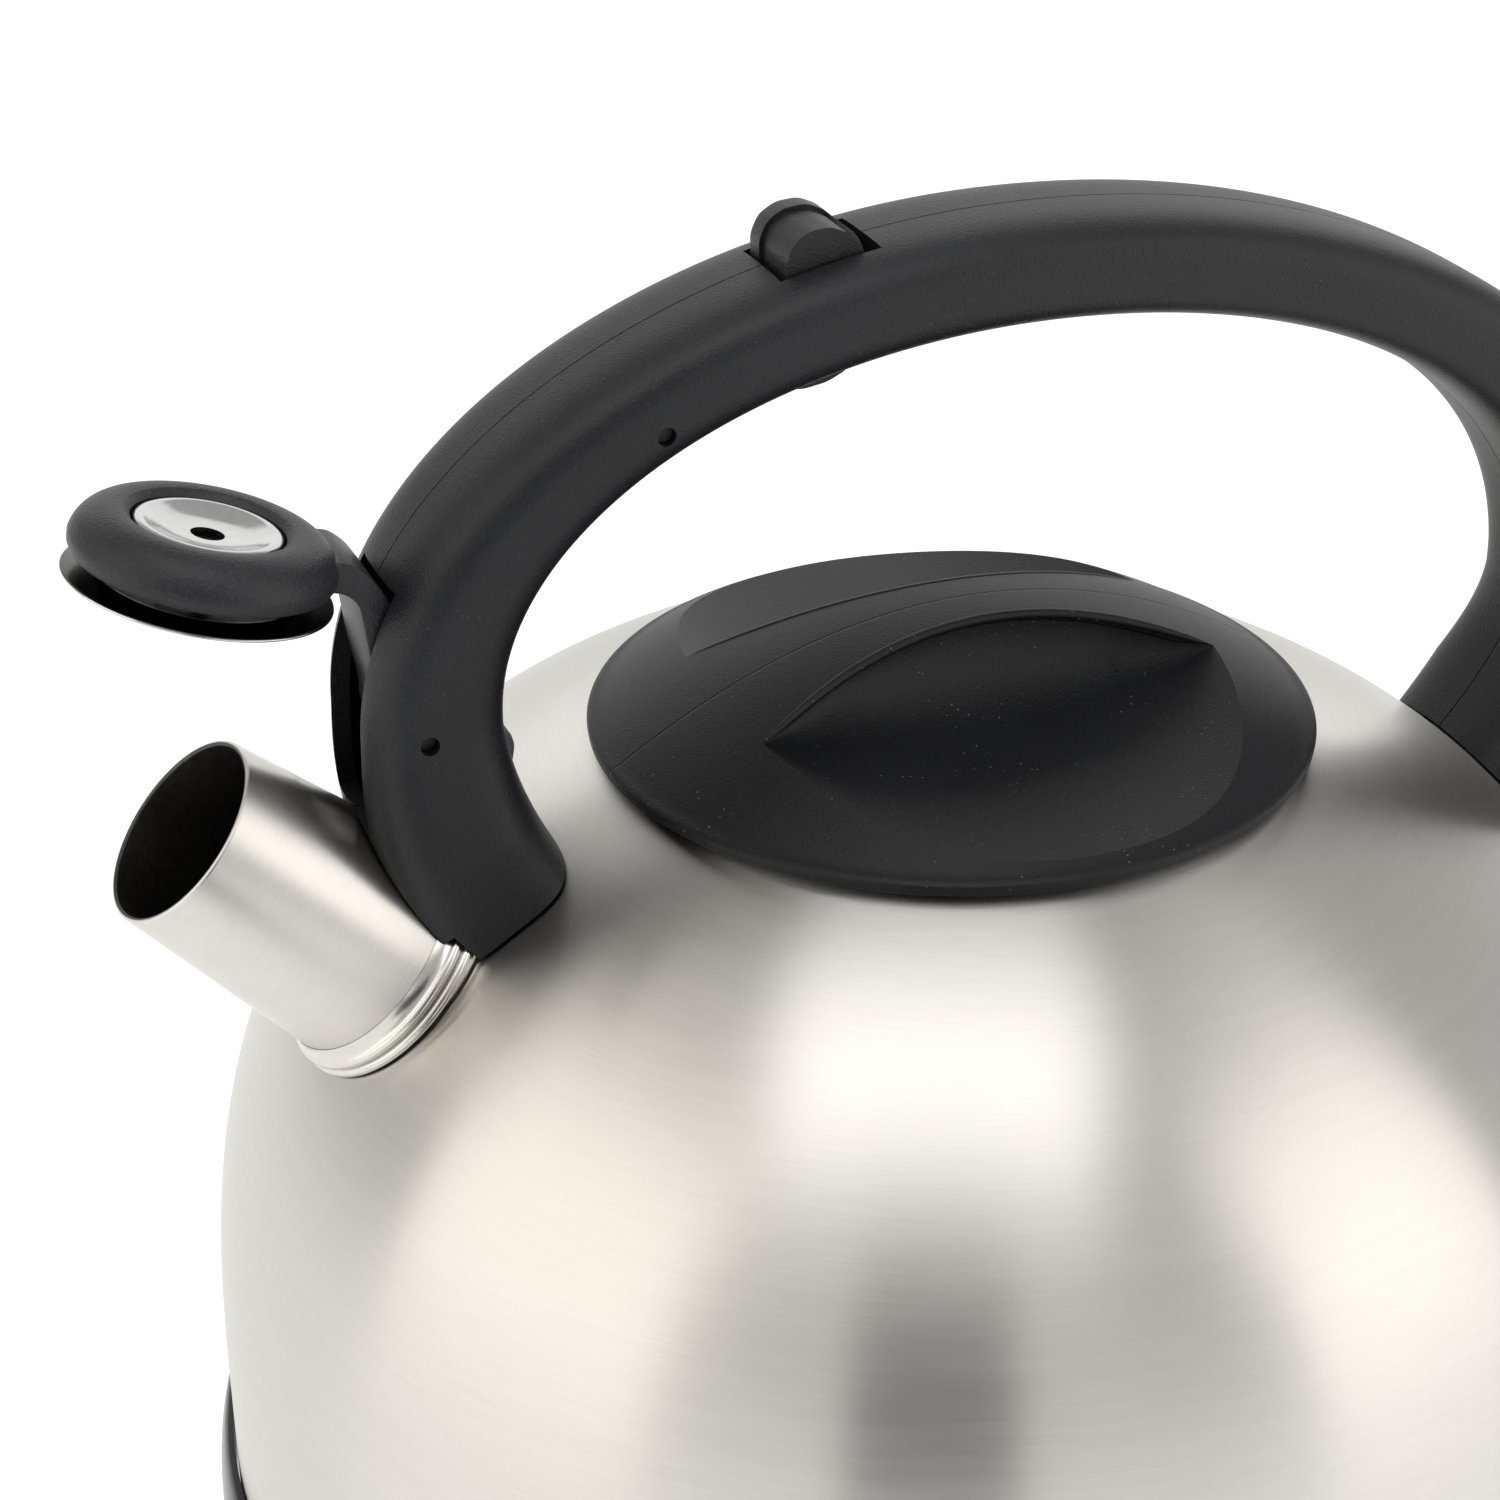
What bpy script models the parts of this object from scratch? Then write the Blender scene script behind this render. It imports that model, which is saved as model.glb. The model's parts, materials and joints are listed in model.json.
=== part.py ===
"""Stovetop whistling kettle with a handle-mounted whistle lever.

Frame: +Z up, metres.  The origin is the centre of the base, on the surface
the kettle stands on.  The spout points to -X and the handle lies in the XZ
plane.  The kettle is drawn with its whistle raised.
"""
import math

import bmesh
import bpy
from mathutils import Matrix, Vector

MM = 0.001
GAP = 0.35 * MM                 # air left between pieces that touch

# Body of revolution: r^BODY_M + ((z - BELLY_Z) / DOME_H)^BODY_N = 1 above the belly.
BODY_R = 110.0 * MM
BELLY_Z = 33.3 * MM
DOME_H = 107.6 * MM
BODY_M = 2.34
BODY_N = 2.85
WALL = 0.9 * MM
BODY_FLOOR = 5.2 * MM           # underside of the body
FLOOR_CORNER = 7.0 * MM
NECK_R = 44.2 * MM              # inner radius of the filling hole
NECK_DEPTH = 6.5 * MM
BODY_STEPS = 40

# Base.
PLATE_R = 99.0 * MM
RING_R = 112.8 * MM
RING_TOP = 21.5 * MM
RING_LOW = 3.0 * MM

# Spout: a tapered tube on an axis that leaves the shoulder at SPOUT_TILT.
MOUTH = Vector((-111.4, 0.0, 141.1)) * MM
SPOUT_TILT = math.radians(43.65)
SPOUT_DIR = Vector((-math.cos(SPOUT_TILT), 0.0, math.sin(SPOUT_TILT)))
SPOUT_MOUTH_R = 13.5 * MM
SPOUT_ROOT_R = 16.4 * MM
SPOUT_LENGTH = 42.0 * MM
SPOUT_WALL = 0.8 * MM
COLLAR_AT = 37.9 * MM           # distance of the collar from the mouth
COLLAR_R = 18.0 * MM

# Handle: the crest is two quarter ovals that meet at HANDLE_TOP.
HANDLE_TOP = Vector((4.1, 0.0, 210.7)) * MM
FRONT_REACH = 92.5 * MM
FRONT_DROP = 58.4 * MM
REAR_REACH = 111.0 * MM
REAR_DROP = 73.2 * MM
HANDLE_DEPTH = 14.4 * MM        # radial thickness at the top
LEG_DEPTH = 5.6 * MM            # what the legs add to it
HANDLE_HALF = 13.1 * MM         # half width across
FOOT_HALF = 15.7 * MM
HANDLE_POWER = 3.4              # 2 is an ellipse, more is squarer
HANDLE_WALL = 2.4 * MM
ARCH_STEPS = 28
SEAM = 0.15 * MM                # half the gap between the two shells

# Whistle pivot in the front leg, and its swing from open to closed.
PIVOT = Vector((-80.5, 0.0, 153.4)) * MM
SWING = math.radians(61.5)
SEAT_GAP = 0.45 * MM
CRANK_R = 8.2 * MM
CRANK_ANGLE = math.radians(2.25)
ARM_HALF = 6.2 * MM
CHEEK_IN = 2.8 * MM

# Thumb lever, a long rocker on a pin in the arch.
ROCKER = Vector((-47.0, 0.0, 190.8)) * MM
LEVER_HALF = 5.8 * MM
LIMB_HALF = 1.9 * MM
HUB_HALF = 3.3 * MM
PIN_R = 1.2 * MM
BORE_R = 1.55 * MM
BOSS_R = 3.6 * MM
BOSS_IN = 9.2 * MM              # where the shells' bosses end, from the middle
REAR_PIN = Vector((99.5, 0.0, 119.0)) * MM
EAR_IN = 7.5 * MM               # the brackets' ears, from the middle
EAR_OUT = 8.6 * MM
FORK_HALF = 3.2 * MM
FORK_SLOT = 1.85 * MM           # half width of the slot round the crank pin

# Lid.
LID_R = 51.7 * MM
LID_RIM_Z = 136.6 * MM
LID_TOP = 153.9 * MM
LID_CROWN = 6.4                 # drop of the crown over radius squared, 1/m
PLUG_R = 41.6 * MM
PLUG_FLOOR = 128.0 * MM
SCOOP_MID = 0.5 * MM            # the scoops run along X about here
SCOOP_REACH = 35.0 * MM
SCOOP_FLOOR = 138.6 * MM
SCOOP_RISE = 6.2 * MM           # what the floor gains at the scoop's ends
SCOOP_HOLLOW = 21.0 * MM        # how far the sweep under the lip reaches out
LIP = 6.2 * MM                  # the ridge's lip from the middle plane
LIP_MID = 4.0 * MM
LIP_BEND = 5.4                  # how fast the lip bends away, 1/m
SCOOP_STEPS = 28


# ---------------------------------------------------------------- helpers
def clear_scene():
    """Remove whatever the new file holds."""
    for old in list(bpy.data.objects):
        bpy.data.objects.remove(old, do_unlink=True)


def finish(name, colour, roughness, metallic):
    """A Principled material for one piece."""
    mat = bpy.data.materials.new(name)
    mat.use_nodes = True
    shader = mat.node_tree.nodes["Principled BSDF"]
    shader.inputs["Base Color"].default_value = (*colour, 1.0)
    shader.inputs["Roughness"].default_value = roughness
    shader.inputs["Metallic"].default_value = metallic
    return mat


def steel(name):
    return finish(name, (0.66, 0.64, 0.60), 0.3, 1.0)


def black(name):
    return finish(name, (0.03, 0.03, 0.034), 0.45, 0.0)


def add(name, mesh, material=None):
    """Link a mesh to the scene as an object."""
    obj = bpy.data.objects.new(name, mesh)
    bpy.context.scene.collection.objects.link(obj)
    if material is not None:
        mesh.materials.append(material)
    return obj


def add_bmesh(name, bm, material=None, smooth=True):
    """Link a bmesh, with smooth faces and sharp edges over 35 degrees."""
    mesh = bpy.data.meshes.new(name)
    bm.to_mesh(mesh)
    bm.free()
    if smooth:
        mesh.shade_smooth()
        mesh.set_sharp_from_angle(angle=math.radians(35))
    return add(name, mesh, material)


def as_cutter(obj):
    """Hide a guide from the render and from the build."""
    obj.hide_render = True
    obj.display_type = 'WIRE'
    return obj


def boolean(obj, other, operation='DIFFERENCE'):
    """Keep a live Boolean on obj."""
    mod = obj.modifiers.new(other.name, 'BOOLEAN')
    mod.operation = operation
    mod.solver = 'EXACT'
    mod.object = other


def turned(name, outline, steps, material=None, place=None):
    """Turn an (r, z) outline about Z; it runs down its outer side.

    An outline that starts and ends on the axis makes a solid; any other
    outline is closed into a ring.
    """
    mesh = bpy.data.meshes.new(name)
    count = len(outline)
    on_axis = outline[0][0] == 0.0 and outline[-1][0] == 0.0
    edges = [(i, i + 1) for i in range(count - 1)]
    if not on_axis:
        edges.append((count - 1, 0))
    mesh.from_pydata([(r, 0.0, z) for r, z in outline], edges, [])
    obj = add(name, mesh, material)
    screw = obj.modifiers.new("turn", 'SCREW')
    screw.axis = 'Z'
    screw.steps = screw.render_steps = steps
    screw.use_merge_vertices = True
    screw.merge_threshold = 0.00001
    screw.use_smooth_shade = True
    if place is not None:
        obj.matrix_world = place
    return obj


def extruded(name, outline, low, high, material=None, pivot=None):
    """Extrude an (x, z) outline along Y from low to high, origin on pivot."""
    base = pivot if pivot is not None else Vector((0.0, 0.0, 0.0))
    bm = bmesh.new()
    verts = [bm.verts.new((x - base.x, low, z - base.z)) for x, z in outline]
    face = bm.faces.new(verts)
    made = bmesh.ops.extrude_face_region(bm, geom=[face])
    moved = [v for v in made["geom"] if isinstance(v, bmesh.types.BMVert)]
    bmesh.ops.translate(bm, verts=moved, vec=(0.0, high - low, 0.0))
    bmesh.ops.recalc_face_normals(bm, faces=bm.faces)
    obj = add_bmesh(name, bm, material)
    obj.location = base
    return obj


def block(name, low, high):
    """A box cutter between two corners."""
    centre = [(a + b) / 2 for a, b in zip(low, high)]
    size = [b - a for a, b in zip(low, high)]
    bm = bmesh.new()
    bmesh.ops.create_cube(bm, size=1.0)
    bmesh.ops.scale(bm, vec=size, verts=bm.verts)
    obj = as_cutter(add_bmesh(name, bm, smooth=False))
    obj.location = centre
    return obj


def hang(pieces, name, place):
    """Parent pieces to an empty on their joint's axis, leaving them in place."""
    axis = add(name, None)
    axis.location = place
    for piece in pieces:
        piece.parent = axis
        piece.matrix_parent_inverse = Matrix.Translation(-Vector(place))


def rod(name, centre, radius, low, high, material=None, steps=16):
    """A round bar along Y with its origin at centre."""
    outline = [(0.0, high), (radius, high), (radius, low), (0.0, low)]
    lying = Matrix.Translation(centre) @ Matrix.Rotation(-math.pi / 2, 4, 'X')
    return turned(name, outline, steps, material, lying)


def arc(centre, radius, start, end, count):
    """(x, z) points on an arc, angles in degrees from +X towards +Z."""
    points = []
    for i in range(count):
        a = math.radians(start + (end - start) * i / (count - 1))
        points.append((centre[0] + radius * math.cos(a), centre[1] + radius * math.sin(a)))
    return points


def bezier(p0, p1, p2, p3, count):
    """Points on a cubic curve, without its first point."""
    points = []
    for i in range(1, count + 1):
        t = i / count
        a, b, c, d = (1 - t) ** 3, 3 * t * (1 - t) ** 2, 3 * t * t * (1 - t), t ** 3
        points.append((a * p0[0] + b * p1[0] + c * p2[0] + d * p3[0],
                       a * p0[1] + b * p1[1] + c * p2[1] + d * p3[1]))
    return points


def spout_frame(distance):
    """Frame whose +Z runs up the spout, distance down from the mouth."""
    return Matrix.Translation(MOUTH - SPOUT_DIR * distance) @ \
        Matrix.Rotation(SPOUT_TILT - math.pi / 2, 4, 'Y')


def spout_radius(distance):
    """Outer radius of the tube, distance down from the mouth."""
    return SPOUT_MOUTH_R + (SPOUT_ROOT_R - SPOUT_MOUTH_R) * distance / COLLAR_AT


# ------------------------------------------------------------------- body
def dome(radius, grow=0.0, count=9):
    """(r, z) points from the given radius down to the belly."""
    full, height = BODY_R + grow, DOME_H + grow
    start = math.acos((radius / full) ** (BODY_M / 2))
    points = []
    for i in range(count + 1):
        a = start * (1 - i / count)
        points.append((full * math.cos(a) ** (2 / BODY_M),
                       BELLY_Z + height * math.sin(a) ** (2 / BODY_N)))
    return points


def dome_height(radius, grow=0.0):
    """Height of the dome at a radius."""
    return BELLY_Z + (DOME_H + grow) * \
        (1 - (radius / (BODY_R + grow)) ** BODY_M) ** (1 / BODY_N)


def corner(radius, floor, bend, count=4):
    """(r, z) points of the rounded edge between wall and floor, going down."""
    points = []
    for i in range(count):
        a = math.pi / 2 * i / (count - 1)
        points.append((radius - bend + bend * math.cos(a), floor + bend - bend * math.sin(a)))
    return points


def kettle_body():
    """Shell with a folded-in neck, open where the spout joins it."""
    lip = NECK_R + 1.8 * MM
    neck_z = dome_height(lip)
    inner = dome(NECK_R + WALL, -WALL)
    outline = [(0.0, BODY_FLOOR + WALL)]
    outline += corner(BODY_R - WALL, BODY_FLOOR + WALL, FLOOR_CORNER - WALL)[::-1]
    outline += inner[::-1]
    outline += [(NECK_R + WALL, neck_z - NECK_DEPTH), (NECK_R, neck_z - NECK_DEPTH),
                (NECK_R, neck_z - 0.5 * MM), (NECK_R + 0.7 * MM, neck_z + 0.15 * MM)]
    outline += dome(lip)
    outline += corner(BODY_R, BODY_FLOOR, FLOOR_CORNER)
    outline += [(0.0, BODY_FLOOR)]
    body = turned("kettle_body", outline, BODY_STEPS, steel("body_steel"))
    reach, wide = 14 * MM, spout_radius(COLLAR_AT) + 0.5 * MM
    hole = turned("spout_hole", [(0.0, reach), (wide, reach), (wide, -reach), (0.0, -reach)],
                  32, place=spout_frame(COLLAR_AT))
    boolean(body, as_cutter(hole))


def body_cutter():
    """The body's outside as a solid, a gap larger, to fit pieces to it."""
    outline = [(0.0, BELLY_Z + DOME_H + GAP)]
    outline += dome(12 * MM, GAP, 40)
    outline += [(BODY_R + GAP, BODY_FLOOR), (0.0, BODY_FLOOR)]
    return as_cutter(turned("body_form", outline, 2 * BODY_STEPS))


def base():
    """Heat-spreading plate under the floor, and the dark band round the foot."""
    plate = [(0.0, BODY_FLOOR - GAP), (PLATE_R, BODY_FLOOR - GAP), (PLATE_R, 1.2 * MM),
             (PLATE_R - 1.2 * MM, 0.0), (0.0, 0.0)]
    turned("base_plate", plate, 48, steel("plate_steel"))
    inside = BODY_R + GAP
    band = [(inside, RING_TOP)]
    for i in range(7):
        t = i / 6
        bulge = (4 * t * (1 - t)) ** 0.6
        band.append((inside + 0.7 * MM + (RING_R - inside - 0.7 * MM) * bulge,
                     RING_TOP - 0.3 * MM - (RING_TOP - RING_LOW - 0.6 * MM) * t))
    band += [(inside, RING_LOW)]
    turned("base_ring", band, BODY_STEPS, black("ring_black"))


# ------------------------------------------------------------------ spout
def spout():
    """Tapered tube, and the collar with two beads that joins it to the body."""
    root_r = spout_radius(COLLAR_AT)
    outline = [(SPOUT_MOUTH_R - 0.2 * MM, 0.0), (SPOUT_MOUTH_R, -0.3 * MM),
               (root_r, -COLLAR_AT), (root_r, -SPOUT_LENGTH),
               (root_r - SPOUT_WALL, -SPOUT_LENGTH), (root_r - SPOUT_WALL, -COLLAR_AT),
               (SPOUT_MOUTH_R - SPOUT_WALL, 0.0)]
    turned("spout_tube", outline, 36, steel("spout_steel"), spout_frame(0.0))

    inside = root_r + GAP
    bead = []
    for middle in (2.2, -0.2):
        for i in range(4):
            a = math.pi / 2 - math.pi * i / 3
            bead.append((COLLAR_R - 1.1 * MM + 1.1 * MM * math.cos(a),
                         (middle + 1.1 * math.sin(a)) * MM))
    ring = [(inside, 3.4 * MM)] + bead + [(COLLAR_R, -6 * MM), (inside, -6 * MM)]
    collar = turned("spout_collar", ring, 32, steel("collar_steel"), spout_frame(COLLAR_AT))
    boolean(collar, bpy.data.objects["body_form"])


# ----------------------------------------------------------------- handle
def handle_edges():
    """Crest and inner edge of the handle as (x, z), front foot to rear foot."""
    front_crest = bezier((-88.4, 152.3), (-88.6, 143.0), (-89.5, 133.0), (-78.0, 112.0), 7)
    front_inner = bezier((-68.4, 152.3), (-67.6, 145.0), (-66.0, 138.5), (-57.5, 124.0), 7)
    rear_crest = bezier((115.1, 137.5), (115.0, 126.0), (107.0, 112.0), (93.0, 88.0), 7)
    rear_inner = bezier((95.1, 137.5), (94.4, 130.0), (91.0, 124.0), (74.0, 106.0), 7)
    crest = [(x * MM, z * MM) for x, z in front_crest[::-1]]
    inner = [(x * MM, z * MM) for x, z in front_inner[::-1]]
    for i in range(ARCH_STEPS + 1):
        a = math.pi * (1 - i / ARCH_STEPS)
        c, s = math.cos(a), math.sin(a)
        reach, drop = (FRONT_REACH, FRONT_DROP) if c < 0 else (REAR_REACH, REAR_DROP)
        point = (HANDLE_TOP.x + reach * c, HANDLE_TOP.z - drop * (1 - s))
        along = Vector((reach * s, -drop * c)).normalized()
        depth = HANDLE_DEPTH + LEG_DEPTH * abs(c) ** 5
        crest.append(point)
        inner.append((point[0] + depth * along.y, point[1] - depth * along.x))
    crest += [(x * MM, z * MM) for x, z in rear_crest]
    inner += [(x * MM, z * MM) for x, z in rear_inner]
    return crest, inner


def half_width(station, stations):
    """Half width of the handle, flared over the last stations of each leg."""
    from_end = min(station, stations - 1 - station)
    flare = max(0.0, 1 - from_end / 8)
    return HANDLE_HALF + (FOOT_HALF - HANDLE_HALF) * min(1.0, 1.6 * flare) ** 1.5


def shell_half(name, side):
    """One side of the hollow handle, side -1 near and +1 far.

    Each station is half of a squared oval: across the seam at the crest,
    round the outside to the inner seam, and back along the inside wall.
    """
    crest, inner = handle_edges()
    outer_points, inner_points = 9, 7
    bm = bmesh.new()
    rings = []
    for n, ((cx, cz), (ix, iz)) in enumerate(zip(crest, inner)):
        middle = Vector(((cx + ix) / 2, (cz + iz) / 2))
        radial = Vector(((cx - ix) / 2, (cz - iz) / 2))
        deep, wide = radial.length, half_width(n, len(crest))
        radial.normalize()
        ring = []
        for count, inset, order in ((outer_points, 0.0, 1), (inner_points, HANDLE_WALL, -1)):
            for k in range(count)[::order]:
                a = math.pi * k / (count - 1)
                c, s = math.cos(a), max(0.0, math.sin(a))
                up = math.copysign(abs(c) ** (2 / HANDLE_POWER), c) * (deep - inset)
                out = s ** (2 / HANDLE_POWER) * (wide - inset)
                spot = middle + radial * up
                ring.append(bm.verts.new((spot.x, side * max(SEAM, out), spot.y)))
        rings.append(ring)
    for low, high in zip(rings, rings[1:]):
        for k in range(len(low)):
            j = (k + 1) % len(low)
            bm.faces.new((low[k], low[j], high[j], high[k]))
    for ring in (rings[0], rings[-1]):
        for k in range(outer_points - 1):
            near = len(ring) - 1 - round(k * (inner_points - 1) / (outer_points - 1))
            next_near = len(ring) - 1 - round((k + 1) * (inner_points - 1) / (outer_points - 1))
            corners = [ring[k], ring[k + 1], ring[next_near], ring[near]]
            bm.faces.new(list(dict.fromkeys(corners)))
    bmesh.ops.recalc_face_normals(bm, faces=bm.faces)
    return add_bmesh(name, bm, black(name + "_black"))


def handle():
    """Both shells, with bosses, slots, pin bores and feet fitted to the body."""
    fit = body_cutter()
    reach = SPOUT_LENGTH + 20 * MM
    cone = [(0.0, 0.0), (spout_radius(0.0) + GAP, 0.0),
            (spout_radius(COLLAR_AT) + GAP, -COLLAR_AT),
            (spout_radius(COLLAR_AT) + GAP, -reach), (0.0, -reach)]
    tube = as_cutter(turned("tube_form", cone, 40, place=spout_frame(0.0)))
    ring = [(0.0, 3.8 * MM), (COLLAR_R + GAP, 3.8 * MM), (COLLAR_R + GAP, -20 * MM),
            (0.0, -20 * MM)]
    collar = as_cutter(turned("collar_form", ring, 40, place=spout_frame(COLLAR_AT)))
    cuts = [
        block("arm_slot", Vector((-110, -7.0, 139.5)) * MM, Vector((-78.5, 7.0, 172.8)) * MM),
        block("lever_slot", Vector((-28.6, -6.4, 199.0)) * MM, Vector((-14.4, 6.4, 222.0)) * MM),
        block("trigger_slot", Vector((-36.5, -6.4, 180.0)) * MM, Vector((-13.5, 6.4, 199.0)) * MM),
        block("crank_window", Vector((-74.0, -6.8, 149.5)) * MM, Vector((-60.0, 6.8, 164.5)) * MM),
    ]
    pins = {"whistle_pivot_pin": (PIVOT, HANDLE_HALF), "lever_pivot_pin": (ROCKER, HANDLE_HALF),
            "rear_handle_pin": (REAR_PIN, FOOT_HALF)}
    for side, name in ((-1, "handle_shell_near"), (1, "handle_shell_far")):
        shell = shell_half(name, side)
        for pin, (spot, half) in pins.items():
            low, high = sorted((side * BOSS_IN, side * (half - 1.2 * MM)))
            boss = rod(f"{pin}_boss_{side}", spot, BOSS_R, low, high)
            boolean(shell, as_cutter(boss), 'UNION')
        for cutter in [fit, tube, collar] + cuts:
            boolean(shell, cutter)
        for pin, (spot, half) in pins.items():
            bore = rod(f"{pin}_bore_{side}", spot, BORE_R, -20 * MM, 20 * MM)
            boolean(shell, as_cutter(bore))
    for pin, (spot, half) in pins.items():
        rod(pin, spot, PIN_R, 1.4 * MM - half, half - 1.4 * MM, steel(pin + "_steel"))


def bracket(name, foot, ear, eye):
    """U-shaped steel strap: a foot welded to the body, two ears on a pin."""
    strap = extruded(name, [(x * MM, z * MM) for x, z in foot], -EAR_OUT, EAR_OUT,
                     steel(name + "_steel"))
    outline = [(x * MM, z * MM) for x, z in ear]
    for side in (-1, 1):
        low, high = sorted((side * EAR_IN, side * EAR_OUT))
        boolean(strap, as_cutter(extruded(f"{name}_ear_{side}", outline, low, high)), 'UNION')
    boolean(strap, bpy.data.objects["body_form"])
    boolean(strap, as_cutter(rod(name + "_eye", eye, BORE_R, -20 * MM, 20 * MM)))


def brackets():
    """The strap in each leg of the handle."""
    x, z = PIVOT.x / MM, PIVOT.z / MM
    bracket("front_bracket",
            [(-69.0, 122.0), (-65.2, 122.0), (-65.2, 129.8), (-69.0, 128.2)],
            [(-69.0, 122.0), (-65.2, 122.0), (-65.2, 130.0), (-67.4, 134.0), (-70.4, 141.5)]
            + arc((x, z), 3.2, 20, 200, 7) + [(-69.0, 132.0)], PIVOT)
    x, z = REAR_PIN.x / MM, REAR_PIN.z / MM
    bracket("rear_bracket",
            [(87.0, 103.0), (94.5, 95.0), (94.5, 106.6), (87.6, 113.9)],
            [(87.5, 100.0), (94.5, 95.0), (94.5, 106.0)]
            + arc((x, z), 3.4, -30, 150, 7) + [(88.5, 113.6)], REAR_PIN)


# ---------------------------------------------------------------- whistle
def closed_to_open(point):
    """Where a point of the closed whistle lies when it is raised."""
    x, z = point.x - PIVOT.x, point.z - PIVOT.z
    c, s = math.cos(SWING), math.sin(SWING)
    return Vector((PIVOT.x + x * c + z * s, 0.0, PIVOT.z - x * s + z * c))


def cap_frame():
    """Frame of the raised cap: origin on its seat, +Z away from the spout."""
    seat = closed_to_open(MOUTH + SPOUT_DIR * SEAT_GAP)
    tilt = SPOUT_TILT - math.pi / 2 + SWING
    return Matrix.Translation(seat) @ Matrix.Rotation(tilt, 4, 'Y')


def crank_pin_place():
    """Where the crank pin sits with the whistle raised."""
    return PIVOT + CRANK_R * Vector((math.cos(CRANK_ANGLE), 0.0, math.sin(CRANK_ANGLE)))


def whistle_carrier():
    """Ring of the cap and the forked arm behind it, one moulding."""
    px, pz = PIVOT.x / MM, PIVOT.z / MM
    arm = [(-93.0, 177.0), (-90.8, 178.2), (-87.2, 177.5), (-85.0, 175.4), (-83.0, 172.0),
           (-80.8, 166.5), (-79.2, 160.0)]
    arm += arc((px, pz), 3.9, 60, -170, 12)
    arm += [(-84.6, 157.0), (-85.6, 162.0), (-86.7, 171.4), (-88.4, 173.4), (-92.0, 174.2)]
    carrier = extruded("whistle_carrier", [(x * MM, z * MM) for x, z in arm],
                       -ARM_HALF, ARM_HALF, black("carrier_black"), pivot=PIVOT)
    place = cap_frame()
    ring = [(0.0, 9.0)] + [(10.3, 9.0), (11.6, 9.3), (13.6, 9.0), (15.4, 8.0), (16.7, 6.6),
                           (17.2, 5.0), (17.1, 3.8), (16.6, 3.0)] + [(0.0, 3.0)]
    ring_form = turned("ring_form", [(r * MM, z * MM) for r, z in ring], 36, place=place)
    boolean(carrier, as_cutter(ring_form), 'UNION')
    cx, cz = crank_pin_place().x / MM, crank_pin_place().z / MM
    cheek = arc((px, pz), 3.9, 95, 270, 8) + arc((cx, cz), 2.7, -85, 90, 7)
    for side in (-1, 1):
        low, high = sorted((side * CHEEK_IN, side * ARM_HALF))
        form = extruded(f"cheek_form_{side}", [(x * MM, z * MM) for x, z in cheek], low, high)
        boolean(carrier, as_cutter(form), 'UNION')
    recess = [(0.0, 5.2), (15.6, 5.2), (15.6, -4.0), (0.0, -4.0)]
    bore = [(0.0, 14.0), (9.95, 14.0), (9.95, 4.0), (0.0, 4.0)]
    for name, outline in (("cap_recess", recess), ("cap_bore", bore)):
        form = turned(name, [(r * MM, z * MM) for r, z in outline], 40, place=place)
        boolean(carrier, as_cutter(form))
    boolean(carrier, as_cutter(rod("arm_bore", PIVOT, BORE_R, -20 * MM, 20 * MM)))
    boolean(carrier, as_cutter(rod("crank_bore", crank_pin_place(), 1.4 * MM,
                                   -20 * MM, 20 * MM)))
    pin = rod("crank_pin", crank_pin_place(), 1.05 * MM, -6.0 * MM, 6.0 * MM,
              steel("crank_pin_steel"))
    return [carrier, pin]


def whistle_discs():
    """The pressed steel parts of the whistle."""
    place = cap_frame()
    cup = [(2.2, 0.5), (2.2, 0.0), (17.3, 0.0), (17.4, 0.25), (17.3, 0.5), (12.8, 0.5),
           (12.8, 4.9), (12.3, 4.9), (12.3, 0.5)]
    inner_disc = [(2.0, 6.0), (9.6, 6.0), (9.6, 5.5), (2.0, 5.5)]
    top_disc = [(2.2, 7.3), (4.5, 7.45), (7.6, 8.1), (8.3, 8.6), (9.1, 8.6), (9.6, 8.2),
                (9.6, 7.6), (9.0, 8.0), (8.3, 8.0), (7.7, 7.5), (4.6, 6.85), (2.2, 6.7)]
    parts = (("whistle_seat_cup", cup[::-1]), ("whistle_inner_disc", inner_disc),
             ("whistle_top_disc", top_disc))
    return [turned(name, [(r * MM, z * MM) for r, z in outline], 32, steel(name + "_steel"),
                   place)
            for name, outline in parts]


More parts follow.
